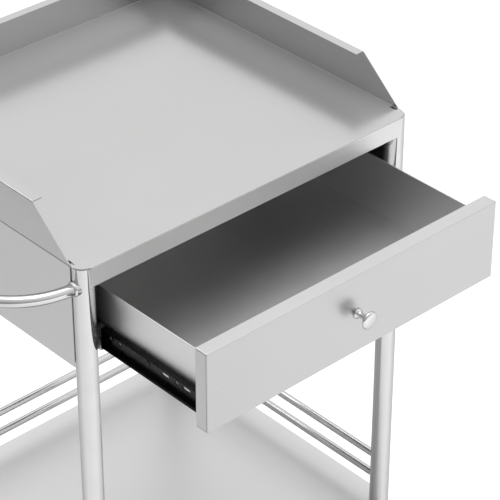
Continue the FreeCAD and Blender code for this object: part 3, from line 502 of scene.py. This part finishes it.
slideBlack = makeCoat("slideBlack", {
    "dark": (0.003, 0.003, 0.0033),
    "light": (0.007, 0.007, 0.0075),
    "roughness": (0.24, 0.34),
    "specular": 0.22,
    "markScale": 60.0,
    "skinScale": 1500.0,
    "skinBump": 0.10,
    "skinDepth": 0.00003,  # metres
})
hubNylon = makeCoat("hubNylon", {
    "dark": (0.27, 0.28, 0.29),
    "light": (0.33, 0.34, 0.35),
    "roughness": (0.42, 0.55),
    "markScale": 90.0,
    "skinScale": 2200.0,
    "skinBump": 0.18,
    "skinDepth": 0.00004,
})
treadRubber = makeCoat("treadRubber", {
    "dark": (0.105, 0.11, 0.115),
    "light": (0.165, 0.17, 0.175),
    "roughness": (0.62, 0.78),
    "markScale": 70.0,
    "skinScale": 1400.0,
    "skinBump": 0.35,
    "skinDepth": 0.00008,
})
pedalNylon = makeCoat("pedalNylon", {
    "dark": (0.045, 0.045, 0.048),
    "light": (0.07, 0.07, 0.073),
    "roughness": (0.48, 0.62),
    "markScale": 80.0,
    "skinScale": 1700.0,
    "skinBump": 0.25,
    "skinDepth": 0.00006,
})
plugNylon = makeCoat("plugNylon", {
    "dark": (0.018, 0.018, 0.019),
    "light": (0.032, 0.032, 0.034),
    "roughness": (0.45, 0.6),
    "markScale": 80.0,
    "skinScale": 1700.0,
    "skinBump": 0.2,
    "skinDepth": 0.00005,
})
print("materials made")


# top tray: deck, guards, inward flanges, relief slots and apron, folded from one sheet

tray = {
    "gauge": 1.2,
    "apron": 26,
    "apronReturn": 8,
    "apronInset": 14.9,
    "returnInset": 27,
    "cornerRound": 15,
    "cornerSteps": 10,
    "noseFoot": 17,
    "noseHead": 79,
    "noseSpare": 2,  # the next points keep this far behind the nose's head
    "flange": 13,
    "reliefLength": 11,
    "reliefWidth": 4.8,
    "outerBend": 1.5,  # guards and flanges, measured on the outside
    "outerSteps": 5,
    "bendRoom": 1.02,  # the slots start just past the bend
    "apronBend": 0.8,  # measured on the inside
    "apronSteps": 4,
    "edge": 0.22,
    "smoothBelow": 30,
}


def makeTray(look):
    low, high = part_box("top_tray")
    gauge = look["gauge"] * mm
    under = low.z + look["apron"] * mm - gauge
    front = low.y + gauge
    foot = low.y + look["noseFoot"] * mm
    head = low.y + look["noseHead"] * mm
    slotEnd = foot + look["reliefLength"] * mm
    bend = look["outerBend"] * mm * look["bendRoom"]
    slotIn = (low.x + bend, low.x + gauge + look["reliefWidth"] * mm)
    slotFar = (high.x - slotIn[1] + low.x, high.x - bend)
    apron = (low.x + look["apronInset"] * mm, high.x - look["apronInset"] * mm)
    lip = (low.x + look["returnInset"] * mm, high.x - look["returnInset"] * mm)
    centre = ((low.x + high.x) / 2, (front + high.y) / 2, under)
    piece = startPanel("topTray", centre, (high.x - low.x, high.y - front))
    editMode(piece)
    # the two front corners follow the leg tubes
    select(piece, "VERT", lambda v: near(v.co.y, front)
           and (near(v.co.x, low.x) or near(v.co.x, high.x)))
    bpy.ops.mesh.bevel(offset=look["cornerRound"] * mm, segments=look["cornerSteps"],
                       profile=0.5, affect="VERTICES")
    for place in (foot, slotEnd):
        cutPlane(piece, (0, place, 0), acrossY)
    for place in (*slotIn, *slotFar):
        cutPlane(piece, (place, 0, 0), acrossX, lambda f: foot < middleOf(f).y < slotEnd)
    for place in (*apron, *lip):
        cutPlane(piece, (place, 0, 0), acrossX, lambda f: middleOf(f).y < foot)
    # relief slots beside the guards' feet
    select(piece, "FACE", lambda f: foot < middleOf(f).y < slotEnd and any(
        a < middleOf(f).x < b for a, b in (slotIn, slotFar)))
    bpy.ops.mesh.delete(type="FACE")
    # guards go up along both sides and the back
    select(piece, "EDGE", lambda e: middleOf(e).y > foot and (
        near(middleOf(e).x, low.x) or near(middleOf(e).x, high.x) or near(middleOf(e).y, high.y)))
    pull((0, 0, high.z - under))
    # their tops fold inwards, mitred at the back corners
    pull((0, 0, 0))
    fresh = {v.index for v in bmesh.from_edit_mesh(piece.data).verts if v.select}
    flange = look["flange"] * mm
    for test, step in (
            (lambda v: v.co.x < low.x + mm, (flange, 0, 0)),
            (lambda v: v.co.x > high.x - mm, (-flange, 0, 0)),
            (lambda v: v.co.y > high.y - mm, (0, -flange, 0))):
        select(piece, "VERT", lambda v: v.index in fresh and test(v))
        move(step)
    # the noses slant back
    select(piece, "VERT", lambda v: near(v.co.z, high.z) and near(v.co.y, foot))
    move((0, head - foot, 0))
    select(piece, "VERT", lambda v: near(v.co.z, high.z) and near(v.co.y, slotEnd))
    move((0, head + look["noseSpare"] * mm - slotEnd, 0))
    # keep the slots' ends apart from the middle of the deck
    for place in (slotIn[1], slotFar[0]):
        cutPlane(piece, (place, 0, 0), acrossX,
                 lambda f: near(middleOf(f).z, under) and middleOf(f).y > slotEnd)
    # apron and its return
    select(piece, "EDGE", lambda e: near(middleOf(e).y, front) and abs(runOf(e).x) > 0.9
           and apron[0] < middleOf(e).x < apron[1])
    pull((0, 0, low.z + gauge - under))
    select(piece, "EDGE", lambda e: near(middleOf(e).z, low.z + gauge) and abs(runOf(e).x) > 0.9
           and lip[0] < middleOf(e).x < lip[1])
    pull((0, look["apronReturn"] * mm - gauge, 0))
    # bends
    select(piece, "EDGE", lambda e: folded(e) and middleOf(e).y > front + mm)
    roundPicked(look["outerBend"] * mm, look["outerSteps"])
    select(piece, "EDGE", lambda e: folded(e) and middleOf(e).y < front + mm * 0.5)
    roundPicked(look["apronBend"] * mm, look["apronSteps"])
    objectMode()
    faceUp(piece, upZ)
    thicken(piece, look["gauge"], 1, look["edge"])
    smooth(piece, look["smoothBelow"])
    finishPiece(piece, "frame", satinDeck, "satin_steel", "top_tray")
    # the apron's grain is duller than the deck's, and the underside is rougher and darkened with
    # painted shade
    paintFaces(piece, satinShadedUnder, lambda face: face.normal.z < -0.7
               and near(face.center.z, under, 0.5 * mm))
    # painted light: the apron's faces get a lighter copy of the steel
    paintFaces(piece, satinApronLit, lambda face: face.center.y < front and face.center.z < under)
    # painted shade: the guards' upright faces get a darker copy of the steel
    paintFaces(piece, satinGuardShaded, lambda face: face.center.z > under + gauge + mm
               and abs(face.normal.z) < 0.5)


makeTray(tray)
print("tray folded")


# frame tubes

leg = {"radius": 12.7, "wall": 1.5, "bore": 6, "edge": 0.5, "sides": 64}


def legAxis(corner):
    low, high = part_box("leg_" + corner)
    return (low + high) / 2, low, high


def makeLeg(corner, look):
    middle, low, high = legAxis(corner)
    length = (high.z - low.z) / mm
    r, e, inner = look["radius"], look["edge"], look["radius"] - look["wall"]
    piece = turned("legTube_" + corner, (middle.x, middle.y, low.z), upZ, [
        (inner, look["bore"]), (inner, e), (inner + e * 0.5, 0), (r - e, 0),
        (r - e * 0.3, e * 0.3), (r, e), (r, length * 0.25), (r, length * 0.5),
        (r, length * 0.75), (r, length), (0, length)], look["sides"])
    finishPiece(piece, "frame", polishedTube, "polished_tube", "leg_" + corner)


rail = {
    # the welded bead at an end: radius and distance from the end, then the plain rod
    "bead": [(0, 0), (6.7, 0), (6.499, 0.84), (5.6, 1.8), (5.1, 2.64), (5.0, 3.6)],
    "sink": 1.2,
    "sides": 32,
}


def makeRail(name, look):
    low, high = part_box("rail_" + name)
    along = acrossX if high.x - low.x > high.y - low.y else acrossY
    span = (high - low).dot(along) / mm
    middle = (low + high) / 2
    # the rod's box ends at the sides of its coped ends, so the rod starts a little earlier
    start = middle - along * (span / 2 + look["sink"]) * mm
    length = span + look["sink"] * 2
    profile = look["bead"] + [(r, length - a) for r, a in reversed(look["bead"])]
    piece = turned("railRod_" + name, start, along, profile, look["sides"])
    finishPiece(piece, "frame", polishedTube, "polished_tube", "rail_" + name)


for corner in corners:
    makeLeg(corner, leg)
for side in ("back", "left", "right"):
    for level in ("upper", "lower"):
        makeRail(side + "_" + level, rail)

handle = {"radius": 7.0, "lead": 10, "bend": 100, "sink": 4, "sides": 32, "bendSteps": 28}


def makeHandle(look):
    low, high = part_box("push_handle")
    frontAxis, backAxis = legAxis("front_left")[0], legAxis("back_left")[0]
    height = (low.z + high.z) / 2
    bendStart = frontAxis.x - look["lead"] * mm
    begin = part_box("leg_front_left")[0].x + look["sink"] * mm
    bend = look["bend"] * mm
    deselectAll()
    bpy.ops.mesh.primitive_circle_add(vertices=look["sides"], radius=look["radius"] * mm,
                                      fill_type="NGON", location=(begin, frontAxis.y, height),
                                      rotation=(0, math.pi / 2, 0))
    piece = settle(bpy.context.object, "pushHandle")
    editMode(piece, "FACE")
    bpy.ops.mesh.select_all(action="SELECT")
    pull((bendStart - begin, 0, 0))
    spinQuarter((bendStart, frontAxis.y + bend, height), look["bendSteps"])
    pull((0, backAxis.y - frontAxis.y - bend * 2, 0))
    spinQuarter((bendStart, backAxis.y - bend, height), look["bendSteps"])
    pull((begin - bendStart, 0, 0))
    objectMode()
    outward(piece)
    smooth(piece)
    finishPiece(piece, "frame", polishedTube, "polished_tube", "push_handle")


def spinQuarter(centre, steps):  # carries the picked edges on round a level bend
    bpy.ops.mesh.spin(steps=steps, dupli=False, angle=math.pi / 2, center=centre, axis=upZ)


makeHandle(handle)

collar = {
    # radius and distance from the leg's outline, towards the leg's middle
    "profile": [(7.05, 4.2), (7.05, -3.6), (7.3, -4.0), (7.85, -3.92), (8.55, -2.88),
                (8.92, -1.8), (9.0, -0.6), (9.0, 4.2), (7.05, 4.2)],
    "sides": 48,
}


def makeCollars(look):
    rings = []
    height = sum(c.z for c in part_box("push_handle")) / 2
    for corner in ("front_left", "back_left"):
        middle, low = legAxis(corner)[:2]
        rings.append(turned("collarRing", (low.x, middle.y, height), acrossX, look["profile"],
                            look["sides"]))
    piece = join(rings)
    piece.name = "handleCollars"
    finishPiece(piece, "frame", polishedTube, "polished_tube", "handle_collars")


makeCollars(collar)
print("tubes, rails and handle made")


# drawer

drawerFront = {
    "gauge": 1.0,
    "bend": 1.1,
    "bendSteps": 5,
    "seam": 0.8,
    "line": 0.6,
    "lineDepth": 0.6,
    "lineGap": 0.1,  # from the front fold to the pressed line
    "edge": 0.15,
    "smoothBelow": 30,
}


def makeDrawerFront(look):
    low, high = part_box("drawer_front")
    bend, seam = look["bend"] * mm, look["seam"] * mm
    piece = startBlock("drawerFront", low, high)
    editMode(piece, "FACE")
    select(piece, "FACE", lambda f: f.normal.y > 0.9)
    bpy.ops.mesh.delete(type="FACE")
    select(piece, "EDGE", folded)
    roundPicked(bend, look["bendSteps"])
    # open seams where the side returns butt against the top and bottom ones
    seams = [(high.z - bend - seam, high.z - bend), (low.z + bend, low.z + bend + seam)]
    for pair in seams:
        for place in pair:
            cutPlane(piece, (0, 0, place), upZ)
    select(piece, "FACE", lambda f: abs(f.normal.x) > 0.95
           and any(a < middleOf(f).z < b for a, b in seams))
    bpy.ops.mesh.delete(type="FACE")
    # pressed line beside the front folds
    lineStart = low.y + bend + look["lineGap"] * mm
    line = (lineStart, lineStart + look["line"] * mm)
    for place in line:
        cutPlane(piece, (0, place, 0), acrossY)
    for way in (-1, 1):
        select(piece, "FACE", lambda f: f.normal.x * way > 0.95
               and line[0] < middleOf(f).y < line[1])
        bpy.ops.mesh.extrude_region_move(
            TRANSFORM_OT_translate={"value": (-way * look["lineDepth"] * mm, 0, 0)})
    objectMode()
    thicken(piece, look["gauge"], -1, look["edge"])
    smooth(piece, look["smoothBelow"])
    finishPiece(piece, "drawer", satinFront, "satin_steel", "drawer_front")
    # painted highlight: the band along its top is lighter
    paintFaces(piece, satinTopHighlight, lambda face: face.normal.z > 0.5 and face.center.z > high.z - bend)


makeDrawerFront(drawerFront)

liner = {"inset": 6, "dish": 0.5, "edge": 0.25, "sharp": 30, "smoothBelow": 30}


def makeLiner(look):
    low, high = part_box("drawer_front_liner")
    piece = startBlock("drawerFrontLiner", low, high)
    editMode(piece, "FACE")
    select(piece, "FACE", lambda f: f.normal.y > 0.9)
    bpy.ops.mesh.inset(thickness=look["inset"] * mm)
    move((0, -look["dish"] * mm, 0))
    objectMode()
    breakEdges(piece, look["edge"], sharp=look["sharp"])
    smooth(piece, look["smoothBelow"])
    finishPiece(piece, "drawer", satinAcross, "satin_steel", "drawer_front_liner")


makeLiner(liner)

drawerBox = {
    "gauge": 1.0,
    "hemDrop": 7,
    "hemOut": 1.1,
    "hemBend": 0.5,
    "hemSteps": 3,
    "floorBend": 2.0,
    "floorSteps": 4,
    "edge": 0.15,
    "sharp": 60,
    "smoothBelow": 30,
}


def roundFolds(piece, along, height, radius, steps):  # rounds a strip's folds at one height
    select(piece, "EDGE", lambda e: abs(runOf(e).dot(along)) > 0.9
           and near(middleOf(e).z, height) and len(e.link_faces) == 2)
    roundPicked(radius * mm, steps)


def makeDrawerBox(look):
    low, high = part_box("drawer_box")
    low.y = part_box("drawer_box_end")[0].y
    gauge = look["gauge"] * mm
    half = gauge / 2
    hem = look["hemOut"] * mm
    left, right = low.x + hem + half, high.x - hem - half
    top, bottom = high.z - half, low.z + half
    far = high.y - hem
    drop = look["hemDrop"] * mm - half
    # floor and side walls, with hems turned outwards
    hull = foldedStrip("drawerBox", [
        (left - hem, low.y, top - drop), (left - hem, low.y, top), (left, low.y, top),
        (left, low.y, bottom), (right, low.y, bottom), (right, low.y, top),
        (right + hem, low.y, top), (right + hem, low.y, top - drop)], (0, far - low.y, 0))
    editMode(hull)
    roundFolds(hull, acrossY, bottom, look["floorBend"], look["floorSteps"])
    roundFolds(hull, acrossY, top, look["hemBend"], look["hemSteps"])
    objectMode()
    applyModifier(hull, "SOLIDIFY", thickness=gauge, offset=0, use_even_offset=True)
    # back wall with its hem
    wall, rim = far - half, far + hem - half
    back = foldedStrip("drawerBack", [
        (left, rim, top - drop), (left, rim, top), (left, wall, top), (left, wall, bottom)],
        (right - left, 0, 0))
    editMode(back)
    roundFolds(back, acrossX, top, look["hemBend"], look["hemSteps"])
    objectMode()
    applyModifier(back, "SOLIDIFY", thickness=gauge, offset=0, use_even_offset=True)
    # near wall behind the drawer front
    end = foldedStrip("drawerNear", [(left, low.y + half, top), (left, low.y + half, bottom)],
                      (right - left, 0, 0))
    applyModifier(end, "SOLIDIFY", thickness=gauge, offset=0)
    piece = join([hull, back, end])
    outward(piece)
    breakEdges(piece, look["edge"], segments=1, sharp=look["sharp"])
    smooth(piece, look["smoothBelow"])
    finishPiece(piece, "drawer", satinBox, "satin_steel", "drawer_box", "drawer_box_end")


makeDrawerBox(drawerBox)

knob = {
    # radius and distance from the drawer front
    "profile": [(0, 0), (6.3, 0), (6.5, 0.4), (6.5, 1.2), (6.1, 1.9), (4.9, 2.7), (4.0, 4.2),
                (3.4, 6.4), (3.1, 9.0), (3.2, 11.6), (3.7, 13.3), (4.6, 14.3), (7.4, 15.3),
                (10.0, 16.4), (10.9, 17.6), (11.0, 18.6), (10.6, 19.8), (9.4, 20.9), (7.0, 21.6),
                (3.5, 21.95), (0, 22)],
    "sides": 64,
    "smoothBelow": 60,
}


def makeKnob(look):
    low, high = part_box("drawer_knob")
    middle = (low + high) / 2
    piece = turned("drawerKnob", (middle.x, high.y, middle.z), -acrossY, look["profile"],
                   look["sides"])
    applyModifier(piece, "SUBSURF", levels=1, render_levels=1)
    smooth(piece, look["smoothBelow"])
    finishPiece(piece, "drawer", knobChrome, "polished_knob", "drawer_knob")


makeKnob(knob)
print("drawer made")


# ball-bearing slides, shelf and housing from the CAD's own solids

for node, name, body, material, slot in (
        ("slide_outer_left", "slideOuter_left", "frame", slideBlack, "slide_black"),
        ("slide_outer_right", "slideOuter_right", "frame", slideBlack, "slide_black"),
        ("slide_inner_left", "slideInner_left", "drawer", slideBlack, "slide_black"),
        ("slide_inner_right", "slideInner_right", "drawer", slideBlack, "slide_black"),
        ("slide_cage_left", "slideCage_left", "ball_cage_left", zincPlate, "zinc_plate"),
        ("slide_cage_right", "slideCage_right", "ball_cage_right", zincPlate, "zinc_plate"),
        ("lower_shelf", "lowerShelf", "frame", satinShelf, "satin_steel"),
        ("side_panel_left", "sidePanel_left", "frame", satinPanel, "satin_steel"),
        ("side_panel_right", "sidePanel_right", "frame", satinPanel, "satin_steel"),
        ("back_panel", "backPanel", "frame", satinAcross, "satin_steel"),
        ("runner_channel_left", "runnerChannel_left", "frame", satinShadedUnder, "satin_steel"),
        ("runner_channel_right", "runnerChannel_right", "frame", satinShadedUnder, "satin_steel")):
    finishPiece(refined(node, name), body, material, slot, node)
# the housing's insides are rougher and darkened with painted shade
for name, inward in (("sidePanel_left", acrossX), ("sidePanel_right", -acrossX),
                     ("backPanel", -acrossY)):
    paintFaces(bpy.data.objects[name], satinShadedUnder, lambda face: face.normal.dot(inward) > 0.7)


slideScrew = {"setback": 0.3}


def makeSlideScrews(look):
    # their ends, more than a millimetre in, keep just behind the drawer box's inner faces
    piece = refined("slide_screws", "slideScrews")
    low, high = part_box("drawer_box")
    editMode(piece, "FACE")
    for way, wall in ((1, low.x), (-1, high.x)):
        select(piece, "FACE", lambda f: f.normal.x * way > 0.9
               and (middleOf(f).x - wall) * way > mm)
        move((-way * look["setback"] * mm, 0, 0))
    objectMode()
    finishPiece(piece, "drawer", slideBlack, "zinc_plate", "slide_screws")


makeSlideScrews(slideScrew)
print("slides, shelf and housing made")


# casters

wheel = {
    # radius and distance along the axle from the wheel's middle
    "tread": [(29.5, -9.6), (30.2, -11.4), (31.0, -12), (33.4, -12), (35.4, -11.3), (36.8, -9.6),
              (37.4, -7.2), (37.5, -5.0), (37.5, -0.6), (37.25, -0.2), (37.25, 0.2), (37.5, 0.6),
              (37.5, 5.0), (37.4, 7.2), (36.8, 9.6), (35.4, 11.3), (33.4, 12), (31.0, 12),
              (30.2, 11.4), (29.5, 9.6), (29.5, -9.6)],
    "hub": [(4.15, -13), (8.6, -13), (9.2, -12.4), (10.2, -4.4), (11.2, -3.2), (22.6, -3.0),
            (23.8, -3.8), (25.4, -8.9), (26.2, -9.6), (29.4, -9.6), (29.4, 9.6), (26.2, 9.6),
            (25.4, 8.9), (23.8, 3.8), (22.6, 3.0), (11.2, 3.2), (10.2, 4.4), (9.2, 12.4),
            (8.6, 13), (4.15, 13), (4.15, -13)],
    "sides": 72,
    "ribs": 5,
    "ribIn": 9.4,
    "ribOut": 24.6,
    "ribHalf": 7.2,
    "ribThick": 1.8,
    "ribRound": 0.6,
    "ribSharp": 30,
}


def makeWheel(look, corner):
    low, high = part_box("wheel_tread_" + corner)
    middle = (low + high) / 2
    tread = turned("wheelTread_" + corner, middle, acrossY, look["tread"], look["sides"])
    hub = turned("wheelHub_" + corner, middle, acrossY, look["hub"], look["sides"])
    half, thick = look["ribHalf"], look["ribThick"] / 2
    rib = startBlock("wheelRib", middle + Vector((look["ribIn"], -half, -thick)) * mm,
                     middle + Vector((look["ribOut"], half, thick)) * mm)
    breakEdges(rib, look["ribRound"], sharp=look["ribSharp"])
    ribs = [rib]
    for turn in range(1, look["ribs"]):
        pickUp(rib)
        bpy.ops.object.duplicate(linked=False)
        bpy.ops.transform.rotate(value=math.tau * turn / look["ribs"], orient_axis="Y",
                                 center_override=middle)
        ribs.append(settle(bpy.context.object, "wheelRib%d" % turn))
    hub = join([hub] + ribs)
    finishPiece(tread, "wheel_" + corner, treadRubber, "tread_grey", "wheel_tread_" + corner)
    finishPiece(hub, "wheel_" + corner, hubNylon, "hub_grey", "wheel_hub_" + corner)


caster = {"forkEdge": 0.35, "axleEdge": 0.3, "pedalEdge": 0.4, "smoothBelow": 35}


def makeCaster(look, corner):
    parts = [("caster_fork_" + corner, "casterFork_" + corner, "caster_" + corner, zincPlate,
              "zinc_plate", look["forkEdge"]),
             ("wheel_axle_" + corner, "wheelAxle_" + corner, "caster_" + corner, zincPlate,
              "zinc_plate", look["axleEdge"])]
    if corner.endswith("left"):
        parts.append(("brake_pedal_" + corner, "brakePedal_" + corner, "pedal_" + corner,
                      pedalNylon, "pedal_grey", look["pedalEdge"]))
    for node, name, body, material, slot, edge in parts:
        piece = refined(node, name)
        breakEdges(piece, edge)
        smooth(piece, look["smoothBelow"])
        finishPiece(piece, body, material, slot, node)


for corner in corners:
    makeWheel(wheel, corner)
    makeCaster(caster, corner)
print("casters made")


# whatever CAD node still shows gets its finish

cadFinish = {
    "deck_stiffener": satinShadedUnder, "shelf_stiffener": satinAcross, "knob_screw": zincPlate,
    "slide_rivets": zincPlate, "slide_balls_left": ballSteel, "slide_balls_right": ballSteel,
    "caster_plugs": plugNylon, "caster_stems": zincPlate, "caster_cups": zincPlate,
    "brake_pin_front_left": zincPlate, "brake_pin_back_left": zincPlate,
}
for node, material in cadFinish.items():
    piece = frame["nodes"][node]
    piece.data.materials.clear()
    piece.data.materials.append(material)


# floor, light and camera

stage = {
    "floorSize": 60,  # metres
    "floorDrop": 0.5,
    "floorColor": 0.82,
    "floorRough": 0.9,
    "floorShine": 0.1,
    "cameraLift": 0.5,
    # what the steel mirrors of the floor
    "mirrorLift": 0.26,
    "mirrorSlope": 0.09,
    "mirrorLeast": 0.1,
    "mirrorMost": 0.5,
    "mirrorRing": (0.2, 0.5),  # metres from the middle: none inside, all of it outside
}


def makeFloor(look):
    deselectAll()
    bpy.ops.mesh.primitive_plane_add(size=look["floorSize"],
                                     location=(0, 0, -look["floorDrop"] * mm))
    floor = bpy.context.object
    floor.name = "floor"
    material, nodes, links, shader = newMaterial("floorPaper")
    shader.inputs["Base Color"].default_value = (*[look["floorColor"]] * 3, 1)
    shader.inputs["Roughness"].default_value = look["floorRough"]
    shader.inputs["Specular IOR Level"].default_value = look["floorShine"]
    glow = nodes.new("ShaderNodeEmission")
    path = nodes.new("ShaderNodeLightPath")
    seen = combine(nodes, links, "MULTIPLY", path.outputs["Is Camera Ray"], look["cameraLift"])
    # what the steel mirrors is brighter to the front right than to the back left
    place = nodes.new("ShaderNodeTexCoord")
    axes = nodes.new("ShaderNodeSeparateXYZ")
    links.new(place.outputs["Object"], axes.inputs["Vector"])
    across = combine(nodes, links, "SUBTRACT", axes.outputs["X"], axes.outputs["Y"])
    lift = combine(nodes, links, "ADD", look["mirrorLift"],
                   combine(nodes, links, "MULTIPLY", across, look["mirrorSlope"]))
    lift = combine(nodes, links, "MAXIMUM", look["mirrorLeast"],
                   combine(nodes, links, "MINIMUM", lift, look["mirrorMost"]))
    # none of it right under the trolley
    length = nodes.new("ShaderNodeVectorMath")
    length.operation = "LENGTH"
    links.new(place.outputs["Object"], length.inputs[0])
    lift = combine(nodes, links, "MULTIPLY", lift, spread(
        nodes, links, length.outputs["Value"], 0, 1, *look["mirrorRing"]))
    mirrored = combine(nodes, links, "MULTIPLY", path.outputs["Is Glossy Ray"], lift)
    links.new(combine(nodes, links, "ADD", seen, mirrored), glow.inputs["Strength"])
    both = nodes.new("ShaderNodeAddShader")
    links.new(shader.outputs["BSDF"], both.inputs[0])
    links.new(glow.outputs["Emission"], both.inputs[1])
    links.new(both.outputs["Shader"], nodes["Material Output"].inputs["Surface"])
    floor.data.materials.append(material)


makeFloor(stage)

sky = {
    # brightness of the studio by direction: base + X, Y and Z shares
    "base": 0.42,
    "shareX": 0.36,
    "shareY": 0.06,
    "shareZ": 0.46,
    "lowest": 0.18,
    "backdrop": 1.0,  # what the camera itself sees
}


def makeWorld(look):
    world = bpy.data.worlds.new("studio")
    bpy.context.scene.world = world
    world.use_nodes = True
    nodes, links = world.node_tree.nodes, world.node_tree.links
    place = nodes.new("ShaderNodeTexCoord")
    axes = nodes.new("ShaderNodeSeparateXYZ")
    links.new(place.outputs["Generated"], axes.inputs["Vector"])
    total = look["base"]
    for axis in "XYZ":
        share = combine(nodes, links, "MULTIPLY", axes.outputs[axis], look["share" + axis])
        total = combine(nodes, links, "ADD", total, share)
    strength = combine(nodes, links, "MAXIMUM", total, look["lowest"])
    path = nodes.new("ShaderNodeLightPath")
    plain = nodes.new("ShaderNodeMix")
    plain.data_type = "FLOAT"
    links.new(path.outputs["Is Camera Ray"], plain.inputs["Factor"])
    links.new(strength, plain.inputs["A"])
    plain.inputs["B"].default_value = look["backdrop"]
    background = nodes["Background"]
    background.inputs["Color"].default_value = (1, 1, 1, 1)
    links.new(plain.outputs["Result"], background.inputs["Strength"])


makeWorld(sky)

lamps = [
    # name, place, where it points and size in metres, power in watts
    ("overhead", (0.1, -0.1, 3.4), (0.05, 0.05, 0.6), 1.8, 14),
    ("backTop", (0.05, 2.0, 3.3), (0.05, 0.1, 0.7), 1.2, 9),
]
for name, place, target, size, power in lamps:
    lamp = bpy.data.lights.new(name, "AREA")
    lamp.shape = "SQUARE"
    lamp.size = size
    lamp.energy = power
    holder = bpy.data.objects.new(name, lamp)
    bpy.context.scene.collection.objects.link(holder)
    holder.location = place
    holder.rotation_euler = (Vector(target) - Vector(place)).to_track_quat("-Z", "Y").to_euler()

view = {
    # the photograph's angle, solved from the deck's edges; 700 of its units are 500 mm
    "heading": 42.41,
    "dip": 33.25,
    "focal": 2260.7,
    "centreU": 247.21,
    "centreV": 241.77,
    "offset": (-247.4, 46.36, 3356.37),
    "unit": 500 / 700,
    "picture": 500,
    "sensor": 36,
    "farClip": 100,  # metres
}


def makeCamera(look):
    # the deck's front left corner is the origin of the solved angle
    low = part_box("top_tray")[0]
    corner = Vector((low.x, low.y, low.z + tray["apron"] * mm))
    a, t = math.radians(look["heading"]), math.radians(look["dip"])
    ahead = Vector((math.sin(a) * math.cos(t), math.cos(a) * math.cos(t), -math.sin(t)))
    right = Vector((math.cos(a), -math.sin(a), 0))
    down = ahead.cross(right)
    x, y, z = look["offset"]
    place = corner - (right * x + down * y + ahead * z) * look["unit"] * mm
    camera = bpy.data.cameras.new("camera")
    holder = bpy.data.objects.new("camera", camera)
    bpy.context.scene.collection.objects.link(holder)
    holder.location = place
    holder.rotation_euler = ahead.to_track_quat("-Z", "Y").to_euler()
    camera.sensor_width = look["sensor"]
    camera.lens = look["focal"] / look["picture"] * camera.sensor_width
    camera.shift_x = (look["picture"] / 2 - look["centreU"]) / look["picture"]
    camera.shift_y = (look["centreV"] - look["picture"] / 2) / look["picture"]
    camera.clip_end = look["farClip"]
    bpy.context.scene.camera = holder


makeCamera(view)
bpy.context.scene.view_settings.view_transform = "Standard"
print("stage, light and camera set")

deselectAll()
